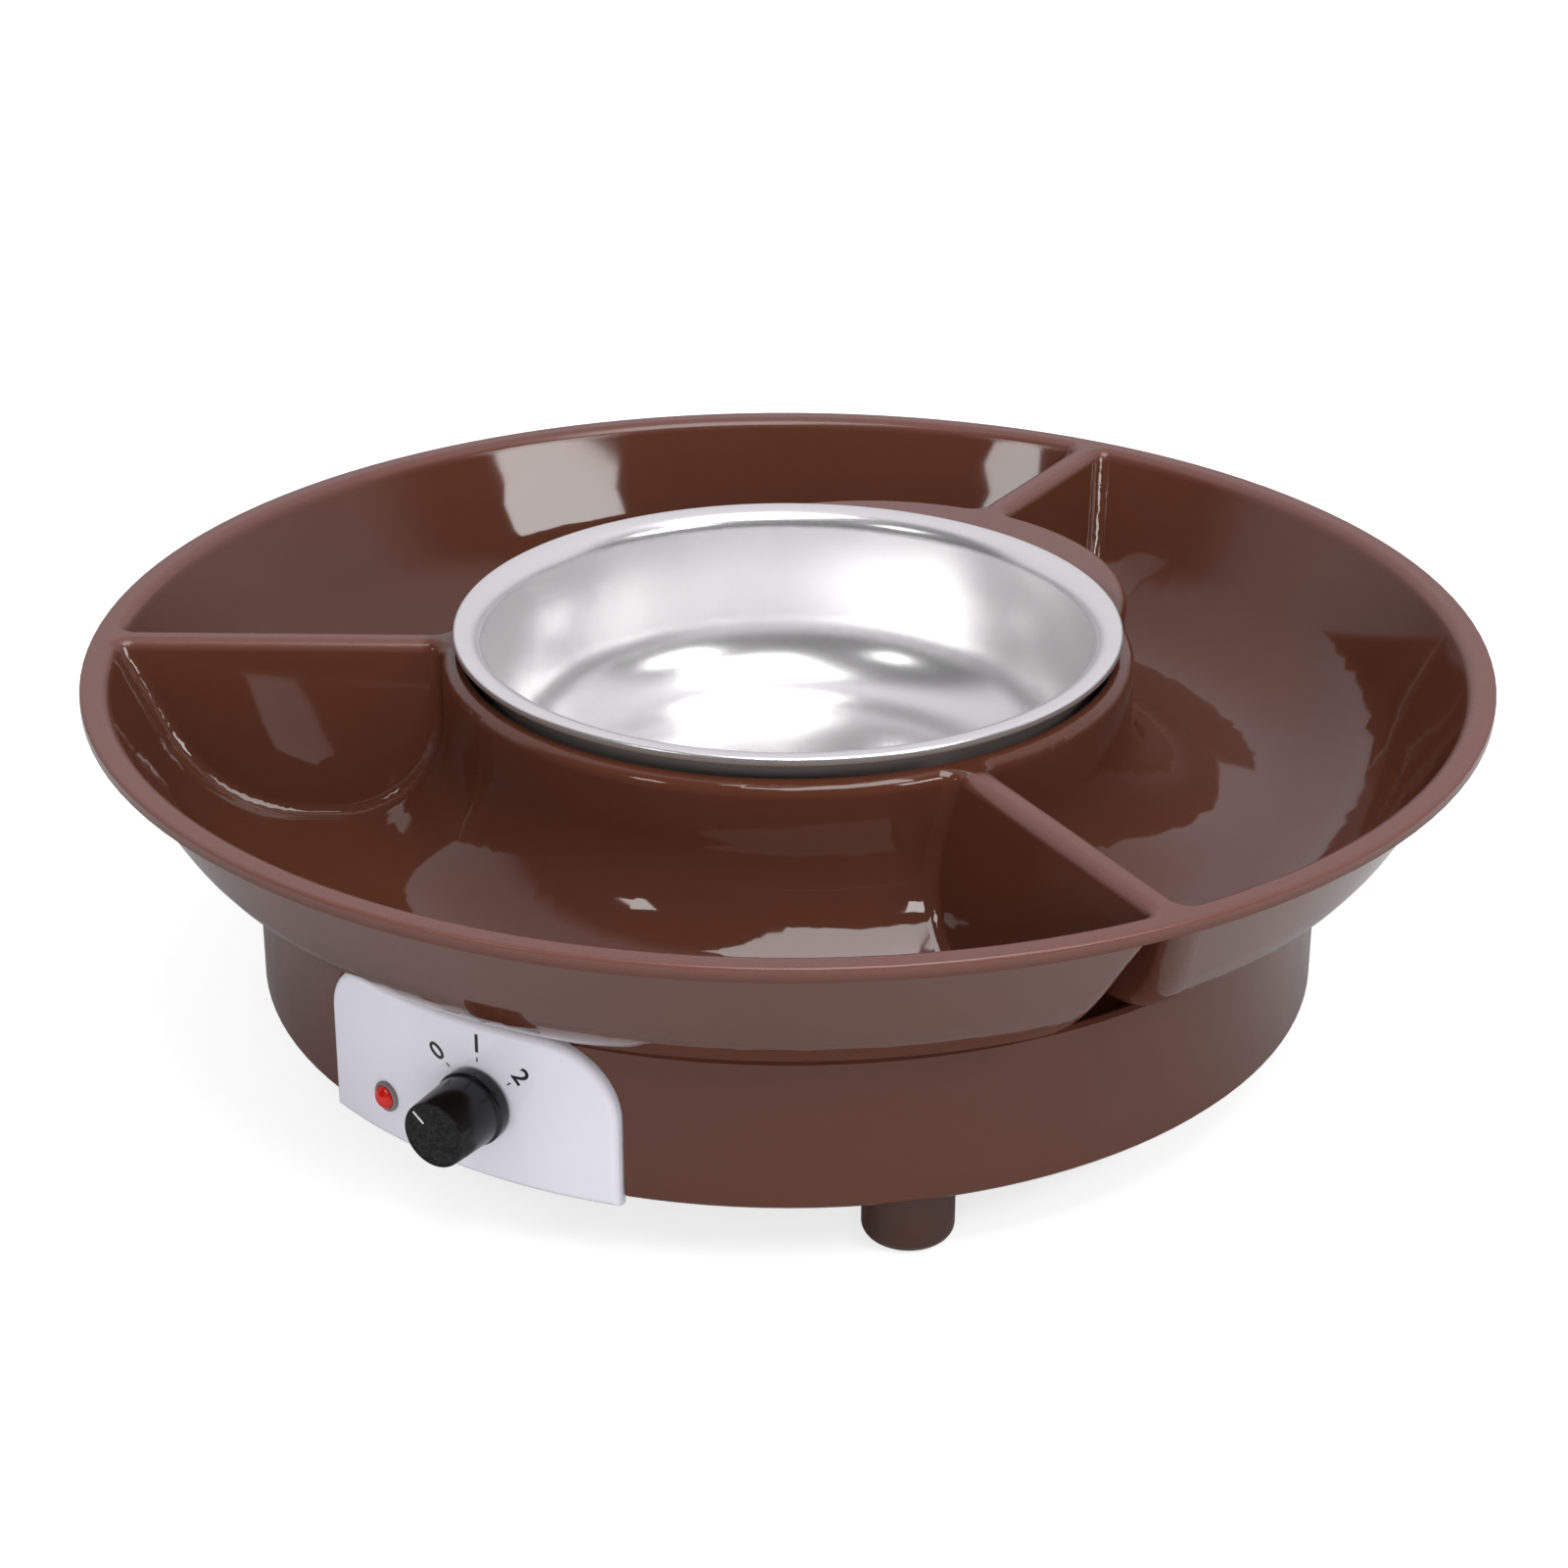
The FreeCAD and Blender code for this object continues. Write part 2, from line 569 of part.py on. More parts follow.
def make_base_housing():
    """Drum shell with its deck, guard ring, screw bosses, panel seat and gland hole."""
    opening = d.plate_radius + d.plate_gap
    lip_inner = d.base_radius - d.base_lip_width
    edge = d.base_edge
    shell = revolved(
        "housing_shell",
        [(d.base_radius - edge, d.base_bottom), (d.base_radius, d.base_bottom + edge),
         (d.base_radius, d.base_top - edge), (d.base_radius - edge, d.base_top),
         (lip_inner, d.base_top), (lip_inner, d.deck_top), (opening, d.deck_top),
         (opening, d.deck_underside), (d.base_inner_radius, d.deck_underside),
         (d.base_inner_radius, d.base_bottom)],
    )
    adds = [shell]
    cuts = []
    boss_foot = d.cover_top + d.cover_clearance
    screw_hole = d.foot_screw_radius + d.fit_clearance
    for name, angle in FEET:
        x, y = polar(d.foot_circle, angle)
        adds.append(cylinder("boss_" + name, d.boss_radius, d.deck_underside - boss_foot + 1,
                             x, y, boss_foot))
        cuts.append(cylinder("boss_hole_" + name, screw_hole, d.foot_screw_length, x, y,
                             boss_foot - BEYOND))
    small_hole = d.small_screw_radius + d.fit_clearance
    for angle in CLAMP_BOSSES:
        x, y = polar(d.deck_boss_circle, angle)
        adds.append(cylinder("deck_boss%d" % angle, d.deck_boss_radius,
                             d.deck_underside - d.bracket_top + 1, x, y, d.bracket_top))
        cuts.append(cylinder("deck_hole%d" % angle, small_hole, d.deck_underside - d.bracket_top + 1,
                             x, y, d.bracket_top - 1))
    for angle in DIVIDERS:
        x, y = polar(d.collar_screw_circle, angle)
        cuts.append(cylinder("collar_hole%d" % angle, small_hole, d.base_wall + 2, x, y,
                             d.deck_underside - 1))
    seat_ring = revolved(
        "panel_seat_ring",
        [(d.panel_back_radius, 0), (d.panel_radius + BEYOND, 0),
         (d.panel_radius + BEYOND, d.tray_top), (d.panel_back_radius, d.tray_top)],
    )
    front = d.panel_radius + BEYOND
    cuts.append(common("panel_rebate", seat_ring,
                       panel_block("panel_rebate_block", d.panel_gap, d.base_radius / 2, front)))
    window_bottom = d.cover_top + 2 * d.cover_clearance
    window_top = d.deck_underside - d.panel_ledge / 2
    cuts.append(box("panel_window", d.panel_left + d.panel_right - d.panel_ledge * 2, d.base_radius / 2,
                    window_top - window_bottom, x=-(d.panel_left - d.panel_ledge), y=-front,
                    z=window_bottom))
    cuts.append(cylinder("gland_hole", d.gland_radius + d.fit_clearance, 4 * BEYOND, z=d.gland_height,
                         y=d.base_radius - 2 * BEYOND, rotation=facing(90)))
    keep("base_housing", cut("base_housing", fuse("housing_solid", *adds), *cuts))


def make_heat_collar():
    """Pressed sheet ring that keeps the pot's heat off the tray, with its three screws."""
    sheet_metal = d.collar_sheet
    inner = d.collar_radius - sheet_metal
    foot = inner - d.collar_flange
    collar = revolved(
        "collar_ring",
        [(d.collar_radius, d.deck_top), (d.collar_radius, d.deck_top + d.collar_height),
         (inner, d.deck_top + d.collar_height), (inner, d.deck_top + sheet_metal),
         (foot, d.deck_top + sheet_metal), (foot, d.deck_top)],
        [(0, d.collar_bend), (3, d.collar_bend - sheet_metal)],
    )
    hole = d.small_screw_radius + d.fit_clearance
    holes = []
    screws = []
    for angle in DIVIDERS:
        x, y = polar(d.collar_screw_circle, angle)
        holes.append(cylinder("collar_clear%d" % angle, hole, sheet_metal + 2, x, y, d.deck_top - 1))
        length = d.base_wall + sheet_metal
        screw = revolved(
            "collar_screw%d" % angle,
            [(0, -length), (d.small_screw_radius, -length), (d.small_screw_radius, 0),
             (d.small_screw_head_radius, 0), (d.small_screw_head_radius, d.small_screw_head),
             (0, d.small_screw_head)],
            [(4, d.small_screw_head / 2)],
        )
        screws.append(put(screw, None, x, y, d.deck_top + sheet_metal))
    keep("heat_collar", cut("heat_collar", collar, *holes))
    keep("collar_screws", group("collar_screws", screws))


def make_bottom_cover():
    """Disc set into the drum's lower edge, with a ring of vent slots."""
    radius = d.base_inner_radius - d.cover_clearance
    disc = cylinder("cover_disc", radius, d.cover_thickness, z=d.cover_underside)
    cuts = []
    for name, angle in FEET:
        x, y = polar(d.foot_circle, angle)
        cuts.append(cylinder("cover_hole_" + name, d.foot_screw_radius + d.fit_clearance,
                             d.cover_thickness + 2, x, y, d.cover_underside - 1))
    for number in range(VENTS):
        angle = 360.0 * number / VENTS
        turn = Rotation(UP, angle)
        x, y = polar(d.vent_radius, angle)
        shift = (d.vent_width / 2) * math.sin(math.radians(angle))
        drop = (d.vent_width / 2) * math.cos(math.radians(angle))
        cuts.append(box("vent%d" % number, d.vent_length, d.vent_width, d.cover_thickness + 2,
                        x + shift, y - drop, d.cover_underside - 1, rotation=turn))
    keep("bottom_cover", cut("bottom_cover", disc, *cuts))


def make_feet():
    """Four posts under the cover, each with a rubber pad; one long screw through each."""
    height = d.cover_underside - d.pad_proud
    web = height - d.foot_web
    recess = d.pad_thickness - d.pad_proud
    pad_hole = d.pad_radius + d.fit_clearance
    well = d.foot_screw_head_radius + d.stack_clearance
    hole = d.foot_screw_radius + d.fit_clearance
    screws = []
    for name, angle in FEET:
        x, y = polar(d.foot_circle, angle)
        foot = revolved(
            "foot_" + name,
            [(hole, height), (hole, web), (well, web), (well, recess), (pad_hole, recess),
             (pad_hole, 0), (d.foot_radius, 0), (d.foot_radius, height)],
            [(6, d.foot_rounding)],
        )
        keep("foot_" + name, put(foot, None, x, y, d.pad_proud))
        keep("foot_pad_" + name, cylinder("foot_pad_" + name, d.pad_radius, d.pad_thickness, x, y))
        head = d.pad_proud + web - d.foot_screw_head
        screw = revolved(
            "foot_screw_" + name,
            [(0, 0), (d.foot_screw_head_radius, 0), (d.foot_screw_head_radius, d.foot_screw_head),
             (d.foot_screw_radius, d.foot_screw_head),
             (d.foot_screw_radius, d.foot_screw_head + d.foot_screw_length),
             (0, d.foot_screw_head + d.foot_screw_length)],
        )
        screws.append(put(screw, None, x, y, head))
    keep("foot_screws", group("foot_screws", screws))


def make_control_panel():
    """Curved fascia with a flat switch seat, an indicator hole and two snap hooks."""
    ring = revolved(
        "panel_ring",
        [(d.panel_back_radius, 0), (d.panel_radius, 0), (d.panel_radius, d.tray_top),
         (d.panel_back_radius, d.tray_top)],
    )
    face = common("panel_face", ring,
                  panel_block("panel_face_block", size(0), d.base_radius / 2, d.panel_radius + BEYOND))
    doc.recompute()
    outer = d.panel_radius.value

    def front_edge(edge):
        spots = [edge.valueAt(edge.FirstParameter + part * (edge.LastParameter - edge.FirstParameter))
                 for part in (0.0, 0.5, 1.0)]
        return all(abs(math.hypot(spot.x, spot.y) - outer) < 1e-3 for spot in spots)
    rounded = round_edges("panel_rounded", face, edge_numbers(face.Shape, front_edge), d.panel_edge)
    adds = [rounded]
    boss = cylinder("switch_boss", d.switch_boss_radius, d.panel_back_radius - d.switch_face + 1,
                    y=-d.switch_face, z=d.knob_height, rotation=FRONT)
    adds.append(boss)
    low = d.knob_height - d.hook_height / 2
    for side, edge in ((1, d.panel_right - d.panel_ledge), (-1, d.panel_left - d.panel_ledge)):
        tip = edge + d.hook_reach
        wall_here = (d.base_inner_radius * d.base_inner_radius - tip * tip).root()
        grip = wall_here - d.cover_clearance
        stem_inner = edge - d.cover_clearance - d.hook_thickness
        stem_depth = d.panel_back_radius - grip + d.hook_thickness
        name = "hook%d" % side
        start = stem_inner if side > 0 else -(edge - d.cover_clearance)
        adds.append(box(name + "_stem", d.hook_thickness, stem_depth, d.hook_height, start,
                        -(grip - d.hook_thickness) - stem_depth, low))
        start = stem_inner if side > 0 else -tip
        adds.append(box(name + "_barb", tip - stem_inner, d.hook_thickness, d.hook_height, start,
                        -grip, low))
    solid = fuse("panel_solid", *adds)
    trim = cylinder("panel_trim", d.panel_radius - d.panel_edge / 2, d.tray_top)
    hook_trim = common("panel_hooks_inside", solid, trim)
    whole = fuse("panel_whole", rounded, hook_trim)
    switch_hole = cylinder("switch_hole", d.bushing_radius + d.fit_clearance, 4 * BEYOND,
                           y=-(d.switch_face - BEYOND), z=d.knob_height, rotation=FRONT)
    turn = -90 - d.indicator_angle.value
    x, y = polar(d.panel_radius - 2 * BEYOND, turn)
    lamp_hole = cylinder("lamp_hole", d.lens_radius + d.bezel_wall + d.fit_clearance * 2, 4 * BEYOND,
                         x, y, d.indicator_height, rotation=facing(turn))
    keep("control_panel", cut("control_panel", whole, switch_hole, lamp_hole))


def make_switch():
    """Rotary switch on the panel: body with bushing, shaft, washer and nut."""
    face = d.switch_face
    half = d.switch_size / 2
    case = box("switch_case", d.switch_size, d.switch_depth, d.switch_size, -half,
               -face, d.knob_height - half)
    bushing = cylinder("switch_bushing", d.bushing_radius, d.bushing_length + 1,
                       y=-(face - 1), z=d.knob_height, rotation=FRONT)
    bore = cylinder("switch_bore", d.shaft_radius + d.fit_clearance, d.bushing_length + d.switch_depth,
                    y=-(face - d.switch_depth / 2), z=d.knob_height, rotation=FRONT)
    keep("switch_body", cut("switch_body", fuse("switch_solid", case, bushing), bore))
    washer_hole = d.bushing_radius + d.fit_clearance
    washer = revolved(
        "switch_washer",
        [(washer_hole, 0), (d.washer_radius, 0), (d.washer_radius, d.washer_thickness),
         (washer_hole, d.washer_thickness)],
    )
    keep("switch_washer", put(washer, FRONT, 0, -d.panel_radius, d.knob_height))
    prism = doc.addObject("Part::Prism", "nut_prism")
    prism.Polygon = 6
    bind(prism, "Circumradius", d.nut_width / size(3).root())
    bind(prism, "Height", d.nut_thickness)
    put(prism, FRONT, 0, -(d.panel_radius + d.washer_thickness), d.knob_height)
    nut_hole = cylinder("nut_hole", washer_hole, 2 * BEYOND, y=-d.panel_radius + 1, z=d.knob_height,
                        rotation=FRONT)
    keep("switch_nut", cut("switch_nut", prism, nut_hole))


def flat_shaft(name, radius, flat, length, start):
    """A round bar along the knob axis with one flat on its pointer side."""
    bar = cylinder(name + "_bar", radius, length, y=-start, z=d.knob_height, rotation=FRONT)
    turn = Rotation(Vector(0, 1, 0), -d.pointer_angle.value) * FRONT
    shave = doc.addObject("Part::Box", name + "_shave")
    bind(shave, "Length", radius * 2)
    bind(shave, "Width", radius)
    bind(shave, "Height", length + 2)
    shift = turn.multVec(Vector(-radius.value, (radius - flat).value, -1))
    shave.Placement = Placement(Vector(0, -size(start).value, d.knob_height.value) + shift, turn)
    return cut(name, bar, shave)


def make_knob():
    """Knob with skirt, ring groove, nut hollow and pointer groove, and the shaft that it turns."""
    shaft_back = d.switch_face - d.switch_depth / 2 + 2 * d.fit_clearance
    knob_back = d.panel_radius + d.knob_clearance
    shaft_front = d.switch_face + d.shaft_length
    shaft = flat_shaft("switch_shaft", d.shaft_radius, d.shaft_flat, shaft_front - shaft_back, shaft_back)
    keep("switch_shaft", shaft)
    groove_start = d.knob_skirt
    body_radius = d.knob_radius - d.knob_groove
    turned = revolved(
        "knob_turned",
        [(0, d.knob_recess_depth), (d.knob_recess_radius, d.knob_recess_depth),
         (d.knob_recess_radius, 0), (d.knob_radius, 0), (d.knob_radius, groove_start),
         (body_radius, groove_start + d.knob_groove), (d.knob_nose_radius, d.knob_length),
         (0, d.knob_length)],
        [(6, d.knob_rounding), (4, d.knob_groove / 2)],
    )
    put(turned, FRONT, 0, -knob_back, d.knob_height)
    bore = flat_shaft("knob_bore", d.shaft_radius + d.fit_clearance, d.shaft_flat,
                      shaft_front - knob_back + d.fit_clearance, knob_back)
    nose = d.knob_length - d.pointer_depth
    pointer = doc.addObject("Part::Box", "pointer_groove")
    bind(pointer, "Length", d.pointer_width)
    bind(pointer, "Width", d.knob_nose_radius)
    bind(pointer, "Height", 2 * d.pointer_depth)
    turn = Rotation(Vector(0, 1, 0), -d.pointer_angle.value) * FRONT
    shift = turn.multVec(Vector(-(d.pointer_width / 2).value, (d.knob_nose_radius * 0.45).value, nose.value))
    pointer.Placement = Placement(Vector(0, -knob_back.value, d.knob_height.value) + shift, turn)
    keep("control_knob", cut("control_knob", turned, bore, pointer))


def make_indicator():
    """Red lens in a grey bezel, with its board behind."""
    turn = -90 - d.indicator_angle.value
    sleeve_inner = d.lens_radius + d.fit_clearance
    sleeve_outer = d.lens_radius + d.bezel_wall + d.fit_clearance
    depth = d.panel_radius - d.panel_back_radius + 1
    x, y = polar(d.panel_radius, turn)
    bezel = revolved(
        "indicator_bezel",
        [(sleeve_inner, -depth), (sleeve_outer, -depth), (sleeve_outer, 0), (d.bezel_radius, 0),
         (d.bezel_radius, d.bezel_flange), (sleeve_inner, d.bezel_flange)],
        [(4, d.bezel_flange / 2)],
    )
    keep("indicator_bezel", put(bezel, facing(turn), x, y, d.indicator_height))
    tip = d.bezel_flange + d.lens_radius * 0.8
    lens = revolved(
        "indicator_lens",
        [(0, tip - d.lens_length - d.lens_radius), (d.lens_radius, tip - d.lens_length - d.lens_radius),
         (d.lens_radius, tip), (0, tip)],
        [(2, d.lens_radius * 0.96)],
    )
    keep("indicator_lens", put(lens, facing(turn), x, y, d.indicator_height))
    back = d.panel_radius + tip - d.lens_length - d.lens_radius - d.board_thickness
    x, y = polar(back, turn)
    half = d.board_width / 2
    board = box("indicator_board", d.board_width, d.board_width, d.board_thickness)
    rotation = facing(turn)
    corner = rotation.multVec(Vector(-half.value, -half.value, 0))
    spot = Vector(x.value, y.value, d.indicator_height.value)
    board.Placement = Placement(spot + corner, rotation)
    keep("indicator_board", board)


def make_heater():
    """Cast heating plate, flat element, clamp, bracket, heat shield and their screws."""
    plate = cylinder("plate_disc", d.plate_radius, d.plate_thickness, z=d.plate_underside)
    adds = [plate]
    holes = []
    hole = d.small_screw_radius + d.fit_clearance
    blind = d.plate_thickness / 2
    for angle in PLATE_BOSSES:
        x, y = polar(d.plate_boss_circle, angle)
        adds.append(cylinder("plate_boss%d" % angle, d.plate_boss_radius,
                             d.plate_underside - d.bracket_top + 0.5, x, y, d.bracket_top))
        holes.append(cylinder("plate_hole%d" % angle, hole, d.plate_underside - d.bracket_top + blind + 1,
                              x, y, d.bracket_top - 1))
    for angle in CLAMP_BOSSES:
        x, y = polar(d.clamp_boss_circle, angle)
        adds.append(cylinder("clamp_boss%d" % angle, d.clamp_boss_radius,
                             d.plate_underside - d.clamp_top + 0.5, x, y, d.clamp_top))
        holes.append(cylinder("clamp_hole%d" % angle, hole, d.plate_underside - d.clamp_top + blind + 1,
                              x, y, d.clamp_top - 1))
    keep("heating_plate", cut("heating_plate", fuse("plate_solid", *adds), *holes))

    element = revolved(
        "heating_element",
        [(d.thermostat_flange_radius + d.stack_clearance, d.clamp_top),
         (d.element_radius, d.clamp_top), (d.element_radius, d.plate_underside),
         (d.thermostat_flange_radius + d.stack_clearance, d.plate_underside)],
    )
    keep("heating_element", element)
    thermostat = revolved(
        "thermostat",
        [(0, d.clamp_top - d.thermostat_height), (d.thermostat_radius, d.clamp_top - d.thermostat_height),
         (d.thermostat_radius, d.clamp_top), (d.thermostat_flange_radius, d.clamp_top),
         (d.thermostat_flange_radius, d.plate_underside), (0, d.plate_underside)],
        [(1, 0.8)],
    )
    keep("thermostat", thermostat)
    clamp = revolved(
        "clamp_disc",
        [(d.thermostat_radius + d.stack_clearance, d.clamp_underside), (d.clamp_radius, d.clamp_underside),
         (d.clamp_radius, d.clamp_top), (d.thermostat_radius + d.stack_clearance, d.clamp_top)],
    )
    clamp_holes = []
    for angle in CLAMP_BOSSES:
        x, y = polar(d.clamp_boss_circle, angle)
        clamp_holes.append(cylinder("clamp_clear%d" % angle, hole, d.clamp_thickness + 2, x, y,
                                    d.clamp_underside - 1))
    keep("element_clamp", cut("element_clamp", clamp, *clamp_holes))

    bracket = revolved(
        "bracket_disc",
        [(d.bracket_inner_radius, d.bracket_underside), (d.bracket_outer_radius, d.bracket_underside),
         (d.bracket_outer_radius, d.bracket_top), (d.bracket_inner_radius, d.bracket_top)],
    )
    shield = revolved(
        "shield_dish",
        [(0, d.shield_floor), (d.shield_radius, d.shield_floor),
         (d.shield_radius, d.shield_flange_underside),
         (d.bracket_outer_radius, d.shield_flange_underside),
         (d.bracket_outer_radius, d.bracket_underside),
         (d.shield_radius - d.shield_sheet, d.bracket_underside),
         (d.shield_radius - d.shield_sheet, d.shield_floor + d.shield_sheet),
         (0, d.shield_floor + d.shield_sheet)],
    )
    bracket_holes = []
    shield_holes = [cylinder("shield_lead_hole", d.lead_hole_radius, 2 * BEYOND, y=d.lead_hole_distance,
                             z=d.shield_floor - BEYOND)]
    for angle in PLATE_BOSSES:
        x, y = polar(d.plate_boss_circle, angle)
        bracket_holes.append(cylinder("bracket_plate_hole%d" % angle, hole, d.bracket_thickness + 2, x, y,
                                      d.bracket_underside - 1))
    for angle in CLAMP_BOSSES:
        x, y = polar(d.deck_boss_circle, angle)
        bracket_holes.append(cylinder("bracket_deck_hole%d" % angle, hole, d.bracket_thickness + 2, x, y,
                                      d.bracket_underside - 1))
        shield_holes.append(cylinder("shield_hole%d" % angle, hole, d.shield_sheet + 2, x, y,
                                     d.shield_flange_underside - 1))
    keep("heater_bracket", cut("heater_bracket", bracket, *bracket_holes))
    keep("heat_shield", cut("heat_shield", shield, *shield_holes))
    pad_bottom = d.shield_floor + d.shield_sheet
    pad_radius = d.shield_radius - d.shield_sheet - d.stack_clearance
    pad = cylinder("pad_disc", pad_radius, d.pad_disc_thickness, z=pad_bottom)
    pad_hole = cylinder("pad_lead_hole", d.lead_hole_radius, 2 * BEYOND, y=d.lead_hole_distance,
                        z=pad_bottom - BEYOND)
    keep("insulation_pad", cut("insulation_pad", pad, pad_hole))


def small_screws(name, circle, angles, seat, length):
    """Pan-head screws driven upwards, their heads bearing on one level."""
    screws = []
    for angle in angles:
        x, y = polar(circle, angle)
        screw = revolved(
            "%s_%d" % (name, angle),
            [(0, -d.small_screw_head), (d.small_screw_head_radius, -d.small_screw_head),
             (d.small_screw_head_radius, 0), (d.small_screw_radius, 0),
             (d.small_screw_radius, length), (0, length)],
            [(1, d.small_screw_head / 2)],
        )
        screws.append(put(screw, None, x, y, seat))
    keep(name, group(name, screws))


def make_heater_screws():
    small_screws("plate_screws", d.plate_boss_circle, PLATE_BOSSES, d.bracket_underside,
                 d.plate_underside - d.bracket_underside)
    small_screws("clamp_screws", d.clamp_boss_circle, CLAMP_BOSSES, d.clamp_underside,
                 d.plate_underside - d.clamp_underside)
    small_screws("bracket_screws", d.deck_boss_circle, CLAMP_BOSSES, d.shield_flange_underside,
                 d.deck_underside - d.shield_flange_underside)


def make_fuse():
    """Thermal fuse held against the clamp by a sheet-metal saddle."""
    axis_level = d.clamp_underside - d.fuse_radius - d.fit_clearance
    fuse_bar = cylinder("thermal_fuse", d.fuse_radius, d.fuse_length, x=-d.fuse_length / 2,
                        y=-d.fuse_distance, z=axis_level, rotation=Rotation(Vector(0, 1, 0), 90))
    keep("thermal_fuse", fuse_bar)
    wall = d.shield_sheet
    inner = d.fuse_radius + d.fit_clearance
    saddle_half = inner + wall
    wide = d.fuse_length / 2
    saddle = box("saddle_block", wide, saddle_half * 2, saddle_half + inner, -wide / 2,
                 -(d.fuse_distance + saddle_half), axis_level - saddle_half)
    ear = box("saddle_ears", wide, saddle_half * 4, wall, -wide / 2,
              -(d.fuse_distance + saddle_half * 2), d.clamp_underside - wall)
    tunnel = cylinder("saddle_tunnel", inner, wide + 2, x=-(wide / 2 + 1), y=-d.fuse_distance,
                      z=axis_level, rotation=Rotation(Vector(0, 1, 0), 90))
    slot = box("saddle_slot", wide + 2, inner * 2, inner + 1, -(wide / 2 + 1),
               -(d.fuse_distance + inner), axis_level)
    keep("fuse_saddle", cut("fuse_saddle", fuse("saddle_solid", saddle, ear), tunnel, slot))


def make_supply():
    """Terminal block on the cover and the cord gland in the drum wall."""
    half = d.terminal_length / 2
    block = box("terminal_case", d.terminal_length, d.terminal_width, d.terminal_height, -half,
                d.terminal_distance - d.terminal_width / 2, d.cover_top)
    cuts = []
    pitch = d.terminal_length / 3
    for number in (-1, 0, 1):
        middle = pitch * number
        cuts.append(cylinder("wire_hole%d" % number, d.terminal_hole_radius, d.terminal_width + 2,
                             middle, d.terminal_distance - d.terminal_width / 2 - 1,
                             d.cover_top + d.terminal_height * 0.4, rotation=facing(90)))
        cuts.append(cylinder("clamp_well%d" % number, d.terminal_well_radius, d.terminal_height, middle,
                             d.terminal_distance, d.cover_top + d.terminal_height * 0.7))
    keep("terminal_block", cut("terminal_block", block, *cuts))
    inner_face = d.base_inner_radius - d.cover_clearance
    outer_face = d.base_radius + d.fit_clearance
    gland = revolved(
        "cord_gland",
        [(d.gland_bore_radius, inner_face - d.gland_flange), (d.gland_flange_radius, inner_face - d.gland_flange),
         (d.gland_flange_radius, inner_face), (d.gland_radius, inner_face), (d.gland_radius, outer_face),
         (d.gland_flange_radius, outer_face), (d.gland_flange_radius, outer_face + d.gland_flange),
         (d.gland_bore_radius, outer_face + d.gland_flange)],
        [(6, d.gland_flange / 3)],
    )
    keep("cord_gland", put(gland, facing(90), 0, 0, d.gland_height))


def check_document():
    """Stops on any object that failed to build, and on any piece without a sound solid."""
    for thing in doc.Objects:
        if "Invalid" in thing.State or "Error" in thing.State:
            raise RuntimeError("%s failed: %s" % (thing.Name, thing.State))
    for name, thing in nodes.items():
        shape = thing.Shape
        if shape.isNull() or not shape.isValid() or not shape.Solids:
            raise RuntimeError("%s has no sound solid" % name)


def write_parts():
    os.makedirs("parts", exist_ok=True)
    for name, thing in nodes.items():
        thing.Shape.exportStep("parts/%s.step" % name)
        print(name, len(thing.Shape.Solids), "solids", round(thing.Shape.Volume), "mm3")


make_serving_tray()
make_melting_pot()
make_base_housing()
make_heat_collar()
make_bottom_cover()
make_feet()
make_control_panel()
make_switch()
make_knob()
make_indicator()
make_heater()
make_heater_screws()
make_fuse()
make_supply()
doc.recompute()
check_document()
write_parts()
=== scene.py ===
"""Chocolate melting pot, dressed for the studio."""
import bmesh
import math
import bpy
from mathutils import Matrix, Vector


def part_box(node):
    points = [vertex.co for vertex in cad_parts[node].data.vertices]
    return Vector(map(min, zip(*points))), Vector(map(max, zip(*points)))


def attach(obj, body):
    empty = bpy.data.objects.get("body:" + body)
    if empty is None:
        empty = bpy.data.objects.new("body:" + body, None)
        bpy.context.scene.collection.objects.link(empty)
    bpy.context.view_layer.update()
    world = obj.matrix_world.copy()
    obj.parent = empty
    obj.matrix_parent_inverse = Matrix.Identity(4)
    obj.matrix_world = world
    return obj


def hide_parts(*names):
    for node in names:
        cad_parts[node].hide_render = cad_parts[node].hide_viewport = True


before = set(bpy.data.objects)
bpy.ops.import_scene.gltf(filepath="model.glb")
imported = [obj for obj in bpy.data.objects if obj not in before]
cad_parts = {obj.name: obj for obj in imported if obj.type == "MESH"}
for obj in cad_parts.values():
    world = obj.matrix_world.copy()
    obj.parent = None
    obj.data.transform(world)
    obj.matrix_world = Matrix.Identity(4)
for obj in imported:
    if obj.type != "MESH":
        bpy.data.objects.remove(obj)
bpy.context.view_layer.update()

MM = 0.001
UP = Vector((0, 0, 1))

# The photograph's view: place in metres, the rest in degrees and millimetres.
CAMERA_PLACE = (0.3574, -0.5962, 0.37885)
CAMERA_AHEAD = (-0.5151, 0.8571, 0.0)
CAMERA_TILT = 25.06
CAMERA_ROLL = -0.109
CAMERA_LENS = 80.4

# Places on the front, in millimetres, and angles in degrees.
PANEL_RADIUS = 117.3
KNOB_HEIGHT = 32.0
KNOB_FOOT = (0, -117.8, KNOB_HEIGHT)
KNOB_FACE = -132.1
KNOB_POSITIONS = (-50, 0, 50)
NUMERAL_REACH = 12.9
TICK_REACH = 9.5
PRINT_HEIGHT = 0.02
INDICATOR_TURN = -102.1
INDICATOR_HEIGHT = 24.7
POT_RIM_UNDERSIDE = 91.9


